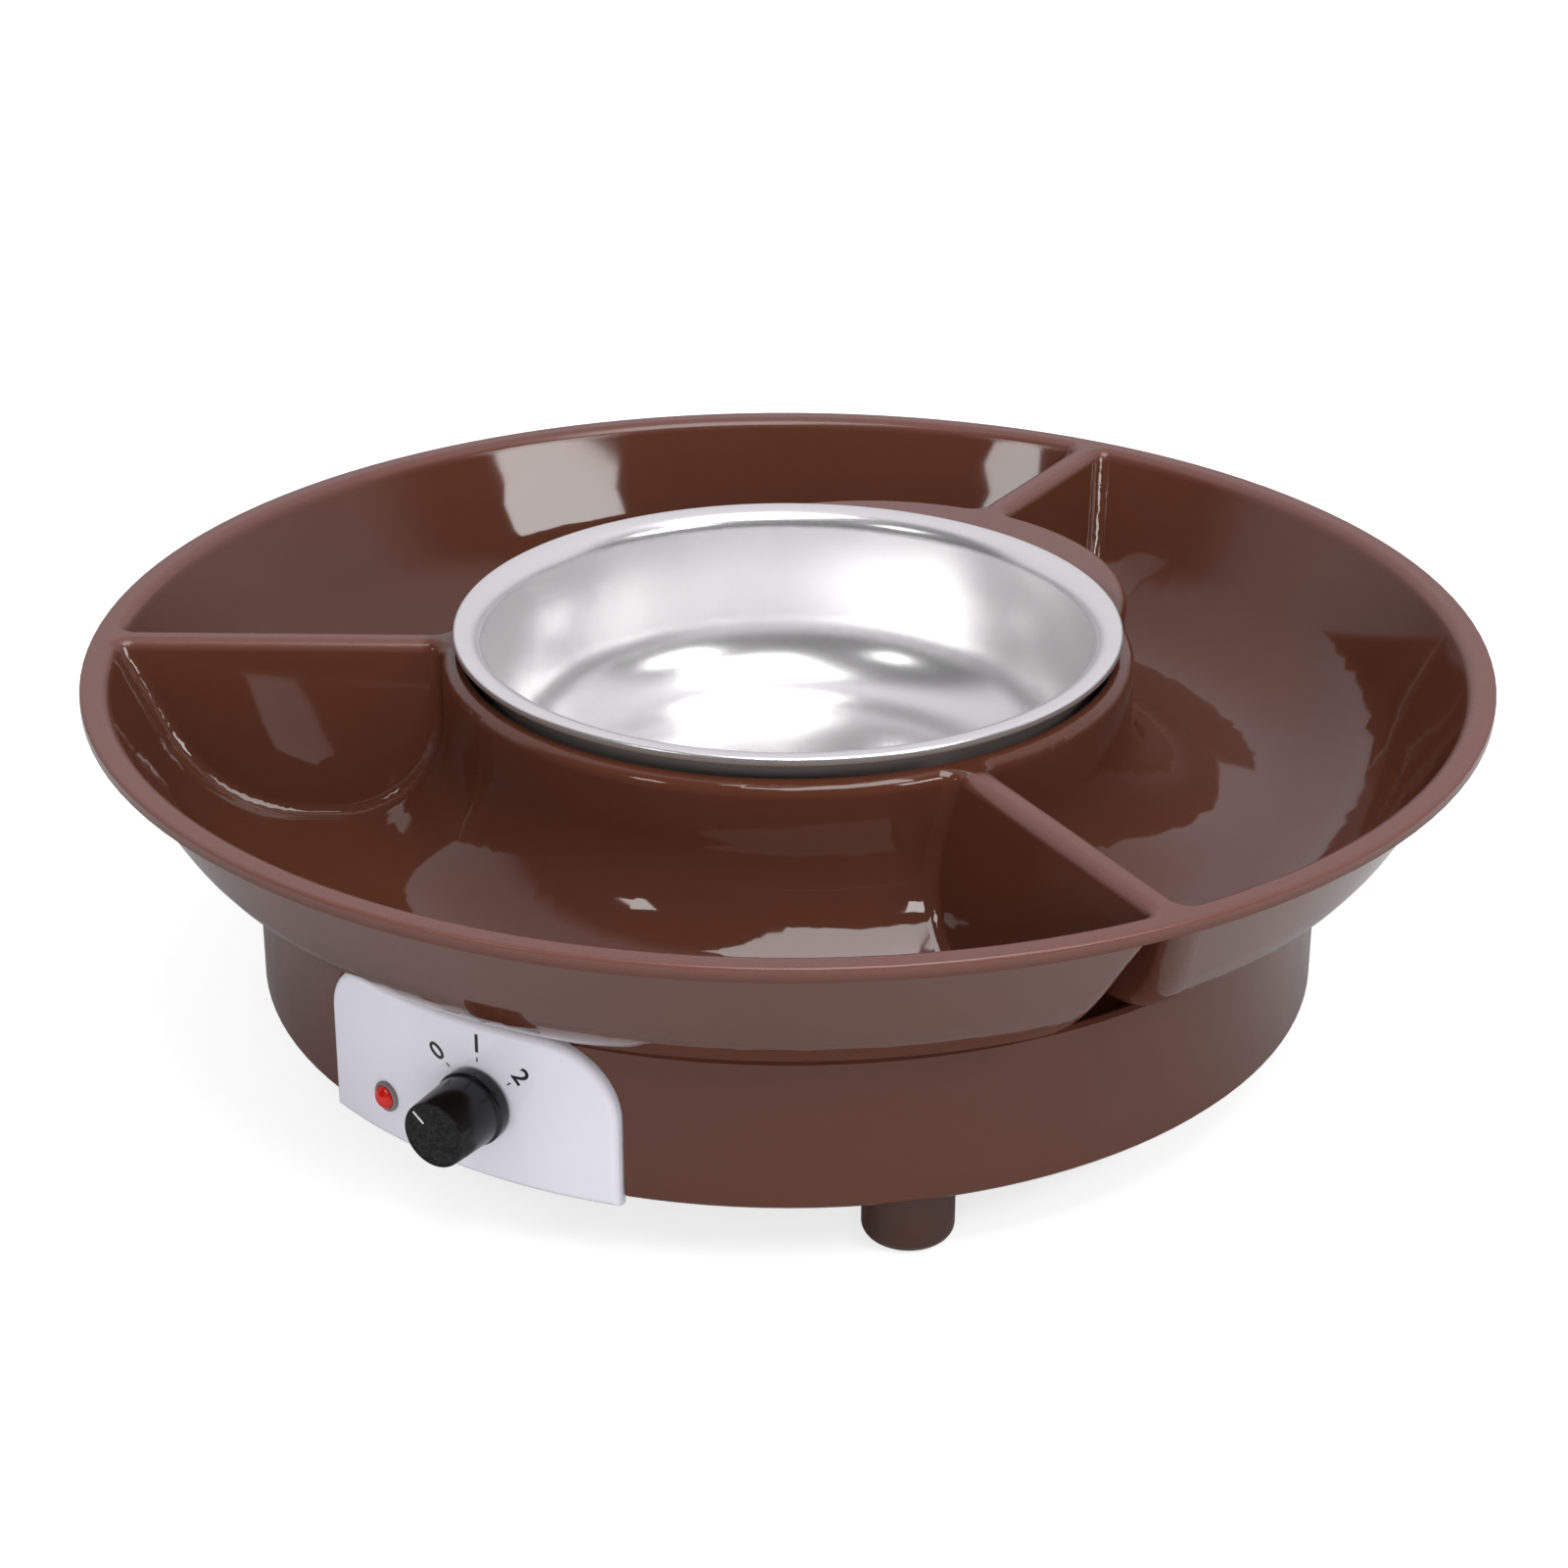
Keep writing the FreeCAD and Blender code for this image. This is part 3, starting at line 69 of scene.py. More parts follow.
def make_camera():
    """The studio camera: front right of the pot, looking down at 25 degrees."""
    lens = bpy.data.cameras.new("studio_camera")
    lens.sensor_width = 36.0
    lens.lens = CAMERA_LENS
    lens.clip_start = 0.01
    lens.clip_end = 20.0
    camera = bpy.data.objects.new("studio_camera", lens)
    bpy.context.scene.collection.objects.link(camera)
    camera.location = CAMERA_PLACE
    tilt = math.radians(CAMERA_TILT)
    look = Vector(CAMERA_AHEAD).normalized() * math.cos(tilt) - UP * math.sin(tilt)
    turn = look.to_track_quat("-Z", "Y").to_matrix()
    roll = Matrix.Rotation(math.radians(CAMERA_ROLL), 3, look)
    camera.rotation_mode = "QUATERNION"
    camera.rotation_quaternion = (roll @ turn).to_quaternion()
    bpy.context.scene.camera = camera


make_camera()


def add_node(tree, kind, **settings):
    """A shader node with its sockets and options set by name."""
    node = tree.nodes.new(kind)
    for key, value in settings.items():
        socket = key.replace("_", " ")
        if socket in node.inputs:
            node.inputs[socket].default_value = value
        else:
            setattr(node, key, value)
    return node


def remap(tree, value, start, end, low, high, **settings):
    """The value's span from start to end, drawn out to low and high."""
    node = add_node(tree, "ShaderNodeMapRange", From_Min=start, From_Max=end,
                    To_Min=low, To_Max=high, **settings)
    tree.links.new(value, node.inputs["Value"])
    return node.outputs["Result"]


class Surface:
    """One procedural material: a shader whose colour, roughness and relief come from noise."""

    def __init__(self, name, colour, roughness, **sockets):
        self.material = bpy.data.materials.new(name)
        self.material.use_nodes = True
        self.tree = self.material.node_tree
        self.shader = self.tree.nodes["Principled BSDF"]
        self.colour = tuple(colour)
        self.shader.inputs["Base Color"].default_value = self.colour + (1.0,)
        self.shader.inputs["Roughness"].default_value = roughness
        for socket, value in sockets.items():
            self.shader.inputs[socket.replace("_", " ")].default_value = value
        self.place = self.add("ShaderNodeTexCoord").outputs["Object"]
        self.height = None

    def add(self, kind, **settings):
        return add_node(self.tree, kind, **settings)

    def link(self, start, end):
        self.tree.links.new(start, end)

    def coordinates(self):
        """The place on the piece as separate X, Y and Z."""
        parts = self.add("ShaderNodeSeparateXYZ")
        self.link(self.place, parts.inputs["Vector"])
        return parts.outputs

    def noise(self, scale, detail=2.0, stretch=(1, 1, 1)):
        mapping = self.add("ShaderNodeMapping", Scale=stretch)
        self.link(self.place, mapping.inputs["Vector"])
        node = self.add("ShaderNodeTexNoise", Scale=scale, Detail=detail)
        self.link(mapping.outputs["Vector"], node.inputs["Vector"])
        return node.outputs["Fac"]

    def reach(self):
        """Distance from the upright axis through the middle of the pot."""
        flat = self.add("ShaderNodeVectorMath", operation="MULTIPLY")
        flat.inputs[1].default_value = (1, 1, 0)
        self.link(self.place, flat.inputs[0])
        length = self.add("ShaderNodeVectorMath", operation="LENGTH")
        self.link(flat.outputs["Vector"], length.inputs[0])
        return length.outputs["Value"]

    def rings(self, scale):
        """Noise that follows circles around the upright axis, as turning leaves it."""
        section = self.add("ShaderNodeCombineXYZ")
        self.link(self.reach(), section.inputs["X"])
        self.link(self.coordinates()["Z"], section.inputs["Y"])
        node = self.add("ShaderNodeTexNoise", Scale=scale, Detail=3.0)
        self.link(section.outputs["Vector"], node.inputs["Vector"])
        return node.outputs["Fac"]

    def between(self, value, low, high, start=0.3, end=0.7):
        return remap(self.tree, value, start, end, low, high)

    def vary_colour(self, value, darker, lighter):
        """Colour drifts between a darker and a lighter share of the plain one."""
        ramp = self.add("ShaderNodeValToRGB")
        for element, share in zip(ramp.color_ramp.elements, (darker, lighter)):
            element.color = tuple(min(1.0, part * share) for part in self.colour) + (1.0,)
        self.link(value, ramp.inputs["Fac"])
        self.link(ramp.outputs["Color"], self.shader.inputs["Base Color"])

    def vary_roughness(self, value, low, high):
        self.link(self.between(value, low, high), self.shader.inputs["Roughness"])

    def relief(self, value, depth, strength):
        """Bump of the given depth in metres, on top of any bump before it."""
        bump = self.add("ShaderNodeBump", Strength=strength, Distance=depth)
        self.link(value, bump.inputs["Height"])
        if self.height is not None:
            self.link(self.height, bump.inputs["Normal"])
        self.height = bump.outputs["Normal"]
        self.link(self.height, self.shader.inputs["Normal"])


def moulded(name, colour, roughness, **sockets):
    """Glossy moulded plastic: faint flow in the colour, slight waviness and fine dust."""
    surface = Surface(name, colour, roughness, **sockets)
    surface.vary_colour(surface.noise(14.0, 3.0), 0.94, 1.06)
    surface.vary_roughness(surface.noise(55.0, 4.0), roughness * 0.75, roughness * 1.3)
    surface.relief(surface.noise(16.0, 0.0), 0.00006, 0.3)
    surface.relief(surface.noise(1100.0, 2.0), 0.000003, 0.25)
    return surface


def grained(name, colour, roughness, grain, depth, **sockets):
    """Fine-grained plastic, ceramic or rubber."""
    surface = Surface(name, colour, roughness, **sockets)
    surface.vary_colour(surface.noise(60.0, 3.0), 0.88, 1.1)
    surface.vary_roughness(surface.noise(140.0, 3.0), roughness * 0.85,
                           min(1.0, roughness * 1.15))
    surface.relief(surface.noise(grain, 3.0), depth, 0.7)
    return surface


def metal(name, colour, roughness, grain=900.0, turned=False):
    """Rolled, plated or turned sheet and bar."""
    surface = Surface(name, colour, roughness, Metallic=1.0)
    streaks = surface.rings(grain) if turned else surface.noise(grain, 3.0)
    surface.vary_roughness(streaks, roughness * 0.88, roughness * 1.14)
    surface.vary_colour(surface.noise(40.0, 2.0), 0.97, 1.02)
    surface.relief(streaks, 0.0000012, 0.5)
    return surface


def satin_pot(name, colour, roughness, grain, sheen):
    """Pressed sheet with a fine satin grain that runs upright."""
    surface = Surface(name, colour, roughness, Metallic=sheen)
    surface.vary_colour(surface.noise(60.0, 3.0, (1, 1, 0.35)), 0.985, 1.01)
    surface.vary_roughness(surface.noise(30.0, 1.0), roughness * 0.975, roughness * 1.025)
    surface.relief(surface.noise(5200.0, 0.0, (1, 1, 0.3)), grain, 0.3)
    return surface


def tray_plastic(name, colour, satin, roughness, **sockets):
    """Glossy pockets; the rim, the dividers and the lobe have a satin finish on top, and a
    lighter brown there as painted light, where the tops catch more light than the pockets.
    """
    surface = moulded(name, colour, roughness, **sockets)
    high = surface.between(surface.coordinates()["Z"], 0.0, 1.0, 0.0856, 0.0874)
    beyond_hub = surface.between(surface.reach(), 0.0, 1.0, 0.0770, 0.0790)
    top = surface.add("ShaderNodeMath", operation="MULTIPLY")
    surface.link(high, top.inputs[0])
    surface.link(beyond_hub, top.inputs[1])
    gloss = surface.shader.inputs["Roughness"].links[0].from_socket
    dull = surface.add("ShaderNodeMath", operation="MULTIPLY_ADD")
    dull.inputs[1].default_value = 0.22
    surface.link(top.outputs["Value"], dull.inputs[0])
    surface.link(gloss, dull.inputs[2])
    surface.link(dull.outputs["Value"], surface.shader.inputs["Roughness"])
    brown = surface.shader.inputs["Base Color"].links[0].from_socket
    # Painted light: the tops blend to the lighter satin colour, which stands in for the extra
    # light they catch.
    blend = surface.add("ShaderNodeMixRGB", Color2=tuple(satin) + (1.0,))
    surface.link(top.outputs["Value"], blend.inputs["Fac"])
    surface.link(brown, blend.inputs["Color1"])
    surface.link(blend.outputs["Color"], surface.shader.inputs["Base Color"])
    return surface


def spark_textured(name, colour, **sockets):
    """The knob's face: a coarse dark grain with paler tips."""
    surface = Surface(name, colour, 0.5, **sockets)
    grain = surface.noise(2100.0, 2.0)
    surface.vary_colour(surface.between(grain, 0.0, 1.0, 0.4, 0.62), 0.4, 2.2)
    surface.vary_roughness(surface.noise(400.0, 2.0), 0.42, 0.6)
    surface.relief(grain, 0.00003, 0.4)
    return surface


BROWN = (0.092, 0.0295, 0.0168)
# Lighter brown for the tray's tops: painted light, where they catch more light than the
# pockets.
LIT_TOP_BROWN = (0.148, 0.056, 0.044)

chocolate = moulded("drum_plastic", BROWN, 0.18, IOR=1.5, Specular_IOR_Level=0.38)
tray_chocolate = tray_plastic("tray_plastic", BROWN, LIT_TOP_BROWN, 0.055, IOR=1.5,
                              Subsurface_Weight=0.08, Subsurface_Radius=(1.0, 0.35, 0.15),
                              Subsurface_Scale=0.003)
dark_chocolate = moulded("foot_plastic", (0.062, 0.026, 0.017), 0.16)
white_plastic = moulded("panel_plastic", (0.80, 0.79, 0.865), 0.10)
black_grained = spark_textured("knob_face_plastic", (0.009, 0.009, 0.009),
                               Specular_IOR_Level=0.16)
black_satin = grained("knob_side_plastic", (0.005, 0.005, 0.005), 0.22, 2600.0, 0.00001,
                      Specular_IOR_Level=0.4)
pointer_white = grained("pointer_paint", (0.75, 0.75, 0.74), 0.4, 2600.0, 0.00001)
print_black = grained("dial_print", (0.014, 0.014, 0.016), 0.45, 2600.0, 0.000005)
grey_plastic = grained("bezel_plastic", (0.20, 0.18, 0.18), 0.35, 2400.0, 0.00002)
red_lens = moulded("red_lens", (0.68, 0.016, 0.010), 0.06, Subsurface_Weight=0.4,
                   Subsurface_Radius=(1.0, 0.2, 0.1), Subsurface_Scale=0.002)
phenolic = grained("board", (0.33, 0.20, 0.09), 0.55, 1800.0, 0.00002)
switch_black = grained("switch_plastic", (0.03, 0.03, 0.03), 0.5, 2200.0, 0.00002)
zinc = metal("zinc_plated_steel", (0.62, 0.62, 0.64), 0.32)
rubber = grained("black_rubber", (0.022, 0.022, 0.022), 0.75, 1500.0, 0.00004)
gland_rubber = grained("gland_rubber", (0.030, 0.018, 0.014), 0.6, 1500.0, 0.00003)
turned_aluminium = metal("turned_aluminium", (0.66, 0.66, 0.67), 0.36, 1500.0, turned=True)
plate_silver = metal("plate_silver", (0.70, 0.70, 0.71), 0.42)
mica = grained("mica", (0.55, 0.47, 0.34), 0.5, 700.0, 0.00006)
ceramic = grained("ceramic", (0.72, 0.67, 0.58), 0.55, 1100.0, 0.00003)
fibre = grained("fibre_board", (0.76, 0.75, 0.70), 0.95, 1300.0, 0.00015)
nylon = grained("natural_nylon", (0.72, 0.71, 0.64), 0.4, 1600.0, 0.00002)
pot_steel = satin_pot("pot_steel", (0.89, 0.88, 0.885), 0.25, 0.0000022, 0.86)
# The pot's outer wall under the flange: the same sheet painted darker and browner, as painted
# shade and a painted reflection of the brown tray hub around it.
pot_outside_painted_shade = satin_pot("pot_outside_painted_shade", (0.46, 0.40, 0.37), 0.45, 0.000012, 0.6)

FINISHES = {
    "serving_tray": tray_chocolate, "melting_pot": pot_steel,
    "base_housing": chocolate, "bottom_cover": chocolate,
    "control_panel": white_plastic, "control_knob": black_satin,
    "indicator_bezel": grey_plastic, "indicator_lens": red_lens, "indicator_board": phenolic,
    "switch_body": switch_black, "switch_washer": zinc, "switch_nut": zinc,
    "switch_shaft": zinc, "heating_plate": turned_aluminium, "heating_element": mica,
    "thermostat": ceramic, "element_clamp": zinc, "heater_bracket": zinc,
    "heat_shield": zinc, "insulation_pad": fibre, "plate_screws": zinc,
    "clamp_screws": zinc, "bracket_screws": zinc, "foot_screws": zinc,
    "heat_collar": zinc, "collar_screws": zinc, "thermal_fuse": turned_aluminium,
    "fuse_saddle": zinc, "terminal_block": nylon, "cord_gland": gland_rubber,
}
for corner in ("rear_right", "rear_left", "front_left", "front_right"):
    FINISHES["foot_" + corner] = dark_chocolate
    FINISHES["foot_pad_" + corner] = rubber


def smooth_node(node):
    """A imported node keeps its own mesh: only welded and shaded smooth by modifiers."""
    weld = node.modifiers.new("weld", "WELD")
    weld.merge_threshold = 0.000001
    for face in node.data.polygons:
        face.use_smooth = True
    split = node.modifiers.new("creases", "EDGE_SPLIT")
    split.split_angle = math.radians(28)
    even = node.modifiers.new("even", "WEIGHTED_NORMAL")
    even.weight = 80


for name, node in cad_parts.items():
    node.data.materials.clear()
    node.data.materials.append(FINISHES[name].material)
    smooth_node(node)


def pick(piece):
    """Selects one piece alone."""
    bpy.ops.object.select_all(action="DESELECT")
    piece.select_set(True)
    bpy.context.view_layer.objects.active = piece


def edit(piece):
    pick(piece)
    bpy.ops.object.mode_set(mode="EDIT")
    bpy.ops.mesh.select_mode(type="VERT")


def pick_points(piece, test):
    """Selects the points of a piece in edit mode that pass a test of their place."""
    bpy.ops.mesh.select_mode(type="VERT")
    bpy.ops.mesh.select_all(action="DESELECT")
    mesh = bmesh.from_edit_mesh(piece.data)
    for point in mesh.verts:
        if test(point.co):
            point.select = True
    mesh.select_flush(True)
    bmesh.update_edit_mesh(piece.data)


def pick_lines(piece, test):
    """Selects the edges of a piece in edit mode that pass a test, and says if there are any."""
    bpy.ops.mesh.select_mode(type="EDGE")
    bpy.ops.mesh.select_all(action="DESELECT")
    mesh = bmesh.from_edit_mesh(piece.data)
    picked = [line for line in mesh.edges if test(*(point.co for point in line.verts))]
    for line in picked:
        line.select = True
    bmesh.update_edit_mesh(piece.data)
    return bool(picked)


def draw_outline(name, corners):
    """A flat outline in the XZ plane, drawn corner by corner.

    A corner is (across, up) in mm, or (across, up, radius, steps in a quarter turn).
    """
    bpy.ops.object.select_all(action="DESELECT")
    bpy.ops.mesh.primitive_plane_add(size=0.01)
    piece = bpy.context.object
    piece.name = name
    piece.data.name = name
    edit(piece)
    bpy.ops.mesh.select_all(action="SELECT")
    bpy.ops.mesh.merge(type="CENTER")
    spots = [Vector((corner[0] * MM, 0, corner[1] * MM)) for corner in corners]
    bpy.ops.transform.translate(value=spots[0])
    for before, spot in zip(spots, spots[1:]):
        bpy.ops.mesh.extrude_region_move(TRANSFORM_OT_translate={"value": spot - before})
    bpy.ops.mesh.select_all(action="SELECT")
    bpy.ops.mesh.edge_face_add()
    for here, corner in enumerate(corners):
        if len(corner) < 3:
            continue
        radius, steps = corner[2:]
        spot = spots[here]
        back = (spots[here - 1] - spot).normalized()
        on = (spots[(here + 1) % len(spots)] - spot).normalized()
        turn = math.pi - back.angle(on)
        pick_points(piece, lambda place, spot=spot: (place - spot).length < 0.000002)
        bpy.ops.mesh.bevel(offset_type="OFFSET", offset=radius * math.tan(turn / 2) * MM,
                           segments=max(2, round(math.degrees(turn) / 90 * steps)),
                           affect="VERTICES", profile=0.5)
    return piece


def turn_piece(name, corners, steps):
    """A turned piece around the upright axis."""
    piece = draw_outline(name, corners)
    bpy.ops.mesh.select_mode(type="EDGE")
    bpy.ops.mesh.select_all(action="SELECT")
    bpy.ops.mesh.delete(type="ONLY_FACE")
    if pick_lines(piece, lambda start, end: max(abs(start.x), abs(end.x)) < 0.000001):
        bpy.ops.mesh.delete(type="EDGE")
    bpy.ops.mesh.select_all(action="SELECT")
    bpy.ops.mesh.spin(steps=steps, angle=math.tau, center=(0, 0, 0), axis=(0, 0, 1))
    bpy.ops.mesh.select_all(action="SELECT")
    bpy.ops.mesh.remove_doubles(threshold=0.000002)
    bpy.ops.mesh.dissolve_degenerate(threshold=0.000001)
    bpy.ops.mesh.select_all(action="SELECT")
    bpy.ops.mesh.normals_make_consistent(inside=False)
    bpy.ops.object.mode_set(mode="OBJECT")
    return piece


def start_block(name, size):
    """A block of a size in mm around the origin, left in edit mode and selected all over."""
    bpy.ops.object.select_all(action="DESELECT")
    bpy.ops.mesh.primitive_cube_add(size=1.0)
    block = bpy.context.object
    block.name = name
    edit(block)
    bpy.ops.mesh.select_all(action="SELECT")
    bpy.ops.transform.resize(value=[side * MM for side in size])
    return block


def copy_of(piece, name):
    """A copy of a piece, with a mesh of its own."""
    other = piece.copy()
    other.data = piece.data.copy()
    other.name = name
    other.data.name = name
    bpy.context.scene.collection.objects.link(other)
    return other


def shade(piece, angle=35):
    pick(piece)
    bpy.ops.object.shade_smooth_by_angle(angle=math.radians(angle))


def settle(piece, turn, move):
    """Turns a piece, moves it to its place in mm, and leaves the place in its mesh."""
    pick(piece)
    piece.rotation_mode = "QUATERNION"
    piece.rotation_quaternion = turn
    piece.location = Vector(move) * MM
    bpy.ops.object.transform_apply(location=True, rotation=True, scale=True)
    piece.rotation_mode = "XYZ"


def finish(piece, body, *surfaces):
    """Gives a piece its finishes and the body that it moves with."""
    piece.data.materials.clear()
    for surface in surfaces:
        piece.data.materials.append(surface.material)
    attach(piece, body)


def turn_about(axis, angle):
    """A turn about an axis, by an angle in degrees."""
    return Matrix.Rotation(math.radians(angle), 3, axis)


def outwards(turn):
    """Turns a piece's upright axis to point outwards, at an angle around the drum."""
    return (turn_about("Z", turn) @ turn_about("Y", 90)).to_quaternion()


def make_pot():
    """Spun pot: soft shoulder into a flat flange with a small turned-down hem."""
    pot = turn_piece("pot", [
        (0, 51.2), (62.8, 51.2, 18.0, 14), (65.4, 92.8, 4.4, 10), (71.75, 92.8, 0.9, 6),
        (71.75, 91.0, 0.34, 3), (71.05, 91.0, 0.3, 3), (71.05, 91.8, 0.3, 3),
        (66.4, 91.8, 3.4, 8), (63.8, 50.2, 19.0, 14), (0, 50.2)], 192)
    shade(pot, 40)
    finish(pot, "pot", pot_steel, pot_outside_painted_shade)
    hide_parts("melting_pot")
    # Faces under the flange that face outwards or down take the darker, browner copy: painted
    # shade and a painted reflection of the tray hub.
    for face in pot.data.polygons:
        centre = face.center
        outward = Vector((centre.x, centre.y, 0)).dot(face.normal)
        if centre.z < POT_RIM_UNDERSIDE * MM and (outward > 0 or face.normal.z < -0.2):
            face.material_index = 1


def make_knob():
    """Knob with a skirt, a ring groove, a tapered barrel and a painted pointer."""
    knob = turn_piece("knob", [
        (0, 4.2), (5.8, 4.2), (5.8, 0, 0.2, 2), (7.75, 0, 0.35, 3), (7.9, 3.0, 0.45, 4),
        (7.35, 3.15, 0.12, 2), (7.3, 3.6, 0.15, 2), (7.45, 3.9, 0.25, 3), (6.9, 14.5, 0.28, 3),
        (6.3, 14.5, 0.2, 2), (6.22, 14.38, 0.1, 2), (0, 14.38)], 96)
    shade(knob, 30)
    settle(knob, outwards(-90), KNOB_FOOT)
    finish(knob, "knob", black_satin, black_grained)
    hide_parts("control_knob")
    for face in knob.data.polygons:
        if face.normal.y < -0.9 and face.center.y < KNOB_FACE * MM:
            face.material_index = 1
    pointer = start_block("pointer", (0.42, 3.1, 0.16))
    bpy.ops.mesh.bevel(offset=0.05 * MM, segments=2, affect="EDGES")
    bpy.ops.transform.translate(value=(0, 4.55 * MM, 14.42 * MM))
    bpy.ops.object.mode_set(mode="OBJECT")
    shade(pointer)
    lean = turn_about("Y", KNOB_POSITIONS[0]) @ turn_about("X", 90)
    settle(pointer, lean.to_quaternion(), KNOB_FOOT)
    finish(pointer, "knob", pointer_white)


def put_on_panel(piece, angle, reach):
    """Puts a flat mark on the curved panel, at an angle around the knob."""
    across = reach * math.sin(math.radians(angle))
    up = reach * math.cos(math.radians(angle))
    around = Matrix.Rotation(math.asin(across / PANEL_RADIUS), 3, "Z")
    spot = around @ Vector((0, -PANEL_RADIUS - PRINT_HEIGHT, 0))
    turn = around @ turn_about("Y", angle) @ turn_about("X", 90)
    settle(piece, turn.to_quaternion(), (spot.x, spot.y, KNOB_HEIGHT + up))


def make_numerals():
    """Printed numerals 0, 1 and 2 at the knob's positions."""
    for label, angle in zip("012", KNOB_POSITIONS):
        bpy.ops.object.select_all(action="DESELECT")
        bpy.ops.object.text_add()
        text = bpy.context.object.data
        text.body = label
        text.align_x = "CENTER"
        text.align_y = "CENTER"
        text.size = 5.6 * MM
        text.offset = 0.09 * MM
        text.extrude = 0.03 * MM
        text.resolution_u = 6
        bpy.ops.object.convert(target="MESH")
        numeral = bpy.context.object
        numeral.name = "numeral_" + label
        edit(numeral)
        bpy.ops.mesh.select_all(action="SELECT")
        bpy.ops.mesh.remove_doubles(threshold=0.000002)
        bpy.ops.mesh.normals_make_consistent(inside=False)
        bpy.ops.object.mode_set(mode="OBJECT")
        put_on_panel(numeral, angle, NUMERAL_REACH)
        finish(numeral, "base", print_black)


def make_ticks():
    """A short printed tick at each of the knob's positions."""
    first = start_block("tick_0", (0.32, 1.0, 0.06))
    bpy.ops.mesh.bevel(offset=0.012 * MM, segments=1, affect="EDGES")
    bpy.ops.object.mode_set(mode="OBJECT")
    ticks = [first, copy_of(first, "tick_1"), copy_of(first, "tick_2")]
    for tick, angle in zip(ticks, KNOB_POSITIONS):
        put_on_panel(tick, angle, TICK_REACH)
        finish(tick, "base", print_black)


def make_indicator():
    """Red lens with a low faceted dome, held in a rounded grey bezel."""
    turn = math.radians(INDICATOR_TURN)
    spot = (PANEL_RADIUS * math.cos(turn), PANEL_RADIUS * math.sin(turn), INDICATOR_HEIGHT)
    bezel = turn_piece("bezel", [
        (2.55, -3.0), (3.05, -3.0), (3.05, -0.3), (3.25, -0.3), (3.25, 0.6, 0.35, 4),
        (2.62, 0.85, 0.2, 3), (2.55, 0.8)], 72)
    shade(bezel)
    settle(bezel, outwards(INDICATOR_TURN), spot)
    finish(bezel, "base", grey_plastic)
    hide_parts("indicator_bezel")
    lens = turn_piece("lens", [
        (0, -5.0), (2.5, -5.0), (2.5, 1.1, 0.5, 3), (1.7, 1.85, 0.8, 3), (0.8, 2.25, 0.8, 3),
        (0, 2.3)], 18)
    settle(lens, outwards(INDICATOR_TURN), spot)
    shade(lens, 12)
    finish(lens, "base", red_lens)
    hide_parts("indicator_lens")


def make_rating_plate():
    """Bare metal plate under the bottom cover."""
    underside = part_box("bottom_cover")[0][2] / MM
    plate = start_block("rating_plate", (40, 22, 0.3))
    pick_lines(plate, lambda start, end: abs(start.z - end.z) > 0.1 * MM)
    bpy.ops.mesh.bevel(offset=2.0 * MM, segments=6, affect="EDGES")
    bpy.ops.object.mode_set(mode="OBJECT")
    shade(plate)
    settle(plate, (1, 0, 0, 0), (0, 0, underside - 0.1))
    finish(plate, "base", plate_silver)


make_pot()
make_knob()
make_numerals()
make_ticks()
make_indicator()
make_rating_plate()


def make_floor():
    """A pale table that the camera sees as nearly white; it keeps the pot's soft shadow."""
    bpy.ops.object.select_all(action="DESELECT")
    bpy.ops.mesh.primitive_plane_add(size=8.0, location=(0, 0, 0))
    floor = bpy.context.object
    floor.name = "studio_floor"
    surface = Surface("studio_floor", (0.72, 0.72, 0.72), 0.6)
    surface.vary_colour(surface.noise(3.0, 2.0), 0.99, 1.01)
    lift = surface.add("ShaderNodeEmission", Color=(1, 1, 1, 1), Strength=0.72)
    seen = surface.add("ShaderNodeAddShader")
    path = surface.add("ShaderNodeLightPath")
    mix = surface.add("ShaderNodeMixShader")
    surface.link(surface.shader.outputs["BSDF"], seen.inputs[0])
    surface.link(lift.outputs["Emission"], seen.inputs[1])
    surface.link(path.outputs["Is Camera Ray"], mix.inputs["Fac"])
    surface.link(surface.shader.outputs["BSDF"], mix.inputs[1])
    surface.link(seen.outputs["Shader"], mix.inputs[2])
    surface.link(mix.outputs["Shader"], surface.tree.nodes["Material Output"].inputs["Surface"])
    floor.data.materials.append(surface.material)


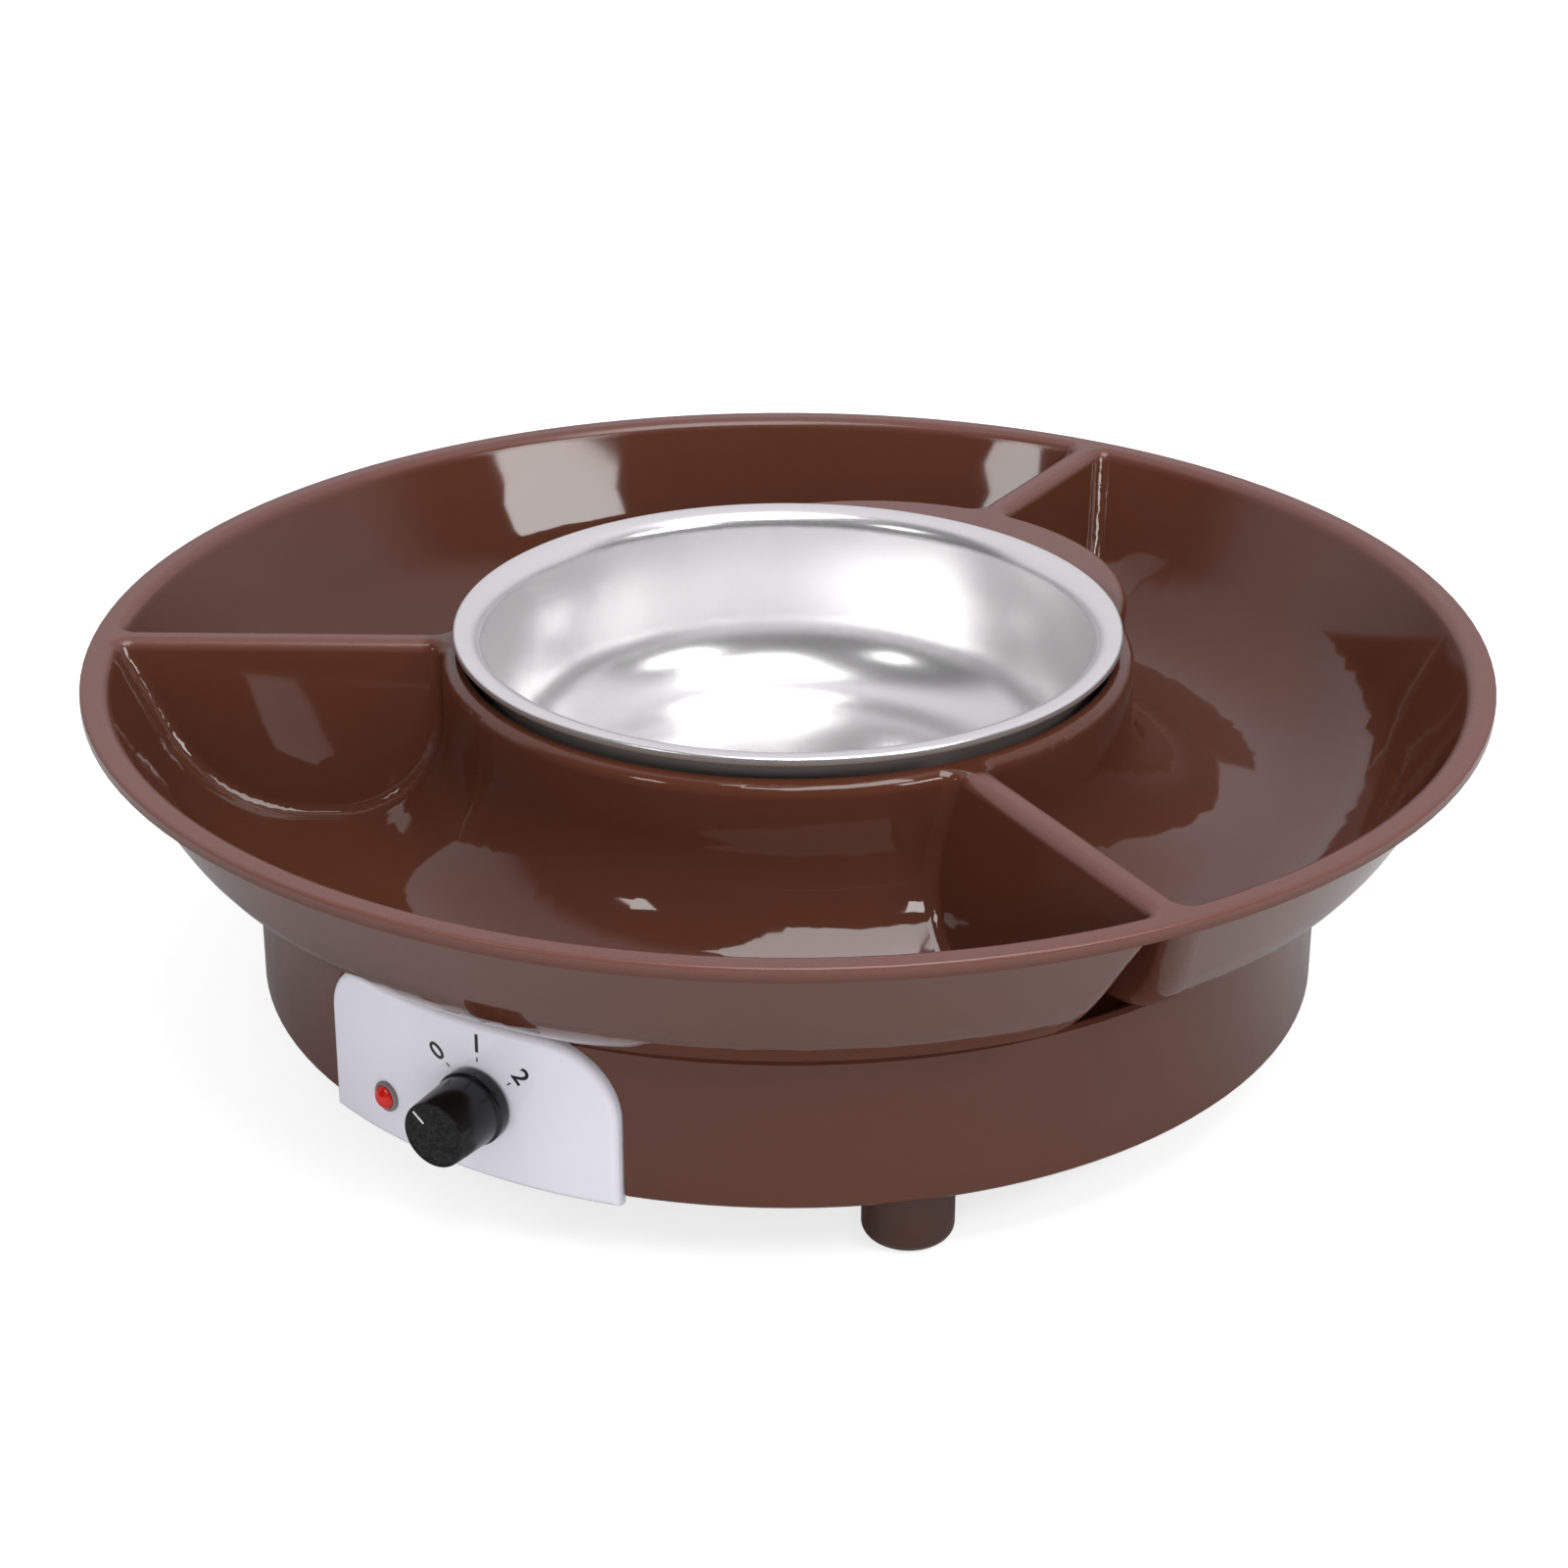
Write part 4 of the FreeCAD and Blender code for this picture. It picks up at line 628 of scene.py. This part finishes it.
def make_world():
    """The room: reflections see pale walls behind and darkness in front.

    Diffuse light from it is even, and the camera sees white.
    """
    world = bpy.data.worlds.new("studio")
    bpy.context.scene.world = world
    world.use_nodes = True
    tree = world.node_tree
    tree.nodes.clear()
    way = add_node(tree, "ShaderNodeTexCoord").outputs["Generated"]
    behind = add_node(tree, "ShaderNodeVectorMath", operation="DOT_PRODUCT")
    behind.inputs[1].default_value = (-0.4226, 0.9063, 0.0)
    tree.links.new(way, behind.inputs[0])
    wall = remap(tree, behind.outputs["Value"], -0.20, 0.10, 0.04, 0.68,
                 interpolation_type="SMOOTHSTEP")
    parts = add_node(tree, "ShaderNodeSeparateXYZ")
    tree.links.new(way, parts.inputs["Vector"])
    skirting = remap(tree, parts.outputs["Z"], 0.05, 0.27, 0.30, 1.0)
    level = add_node(tree, "ShaderNodeMath", operation="MULTIPLY")
    tree.links.new(wall, level.inputs[0])
    tree.links.new(skirting, level.inputs[1])
    mirrored = add_node(tree, "ShaderNodeBackground", Color=(1.0, 0.96, 1.02, 1))
    tree.links.new(level.outputs["Value"], mirrored.inputs["Strength"])
    even = add_node(tree, "ShaderNodeBackground", Color=(0.985, 0.985, 1.0, 1), Strength=0.42)
    seen = add_node(tree, "ShaderNodeBackground", Color=(1, 1, 1, 1), Strength=1.0)
    path = add_node(tree, "ShaderNodeLightPath")
    gloss = add_node(tree, "ShaderNodeMixShader")
    mix = add_node(tree, "ShaderNodeMixShader")
    output = add_node(tree, "ShaderNodeOutputWorld")
    tree.links.new(path.outputs["Is Glossy Ray"], gloss.inputs["Fac"])
    tree.links.new(even.outputs["Background"], gloss.inputs[1])
    tree.links.new(mirrored.outputs["Background"], gloss.inputs[2])
    tree.links.new(path.outputs["Is Camera Ray"], mix.inputs["Fac"])
    tree.links.new(gloss.outputs["Shader"], mix.inputs[1])
    tree.links.new(seen.outputs["Background"], mix.inputs[2])
    tree.links.new(mix.outputs["Shader"], output.inputs["Surface"])


def softbox(name, around, rise, distance, size, power, gloss=True):
    """A soft light at an angle around the pot and a rise above the table, both in degrees.

    Distance and size are in metres and power in watts. Without gloss no reflection shows it.
    """
    lamp = bpy.data.lights.new(name, "AREA")
    lamp.shape = "RECTANGLE"
    lamp.size, lamp.size_y = size
    lamp.energy = power
    piece = bpy.data.objects.new(name, lamp)
    piece.visible_glossy = gloss
    bpy.context.scene.collection.objects.link(piece)
    around, rise = math.radians(around), math.radians(rise)
    way = Vector((math.cos(around) * math.cos(rise), math.sin(around) * math.cos(rise),
                  math.sin(rise)))
    middle_of_tray = Vector((0, 0, 0.07))
    piece.location = middle_of_tray + way * distance
    piece.rotation_mode = "QUATERNION"
    piece.rotation_quaternion = (-way).to_track_quat("-Z", "Y")


make_floor()
make_world()
softbox("right_window", -9, 36, 1.5, (0.52, 0.23), 3.6)
softbox("front_window", -108, 36.5, 1.5, (0.22, 0.20), 1.1)
softbox("overhead", -34, 69.5, 1.6, (0.96, 0.98), 17.0)
softbox("front_fill", -60, 12, 1.8, (1.4, 0.7), 10.5, gloss=False)

bpy.context.scene.view_settings.view_transform = "Standard"
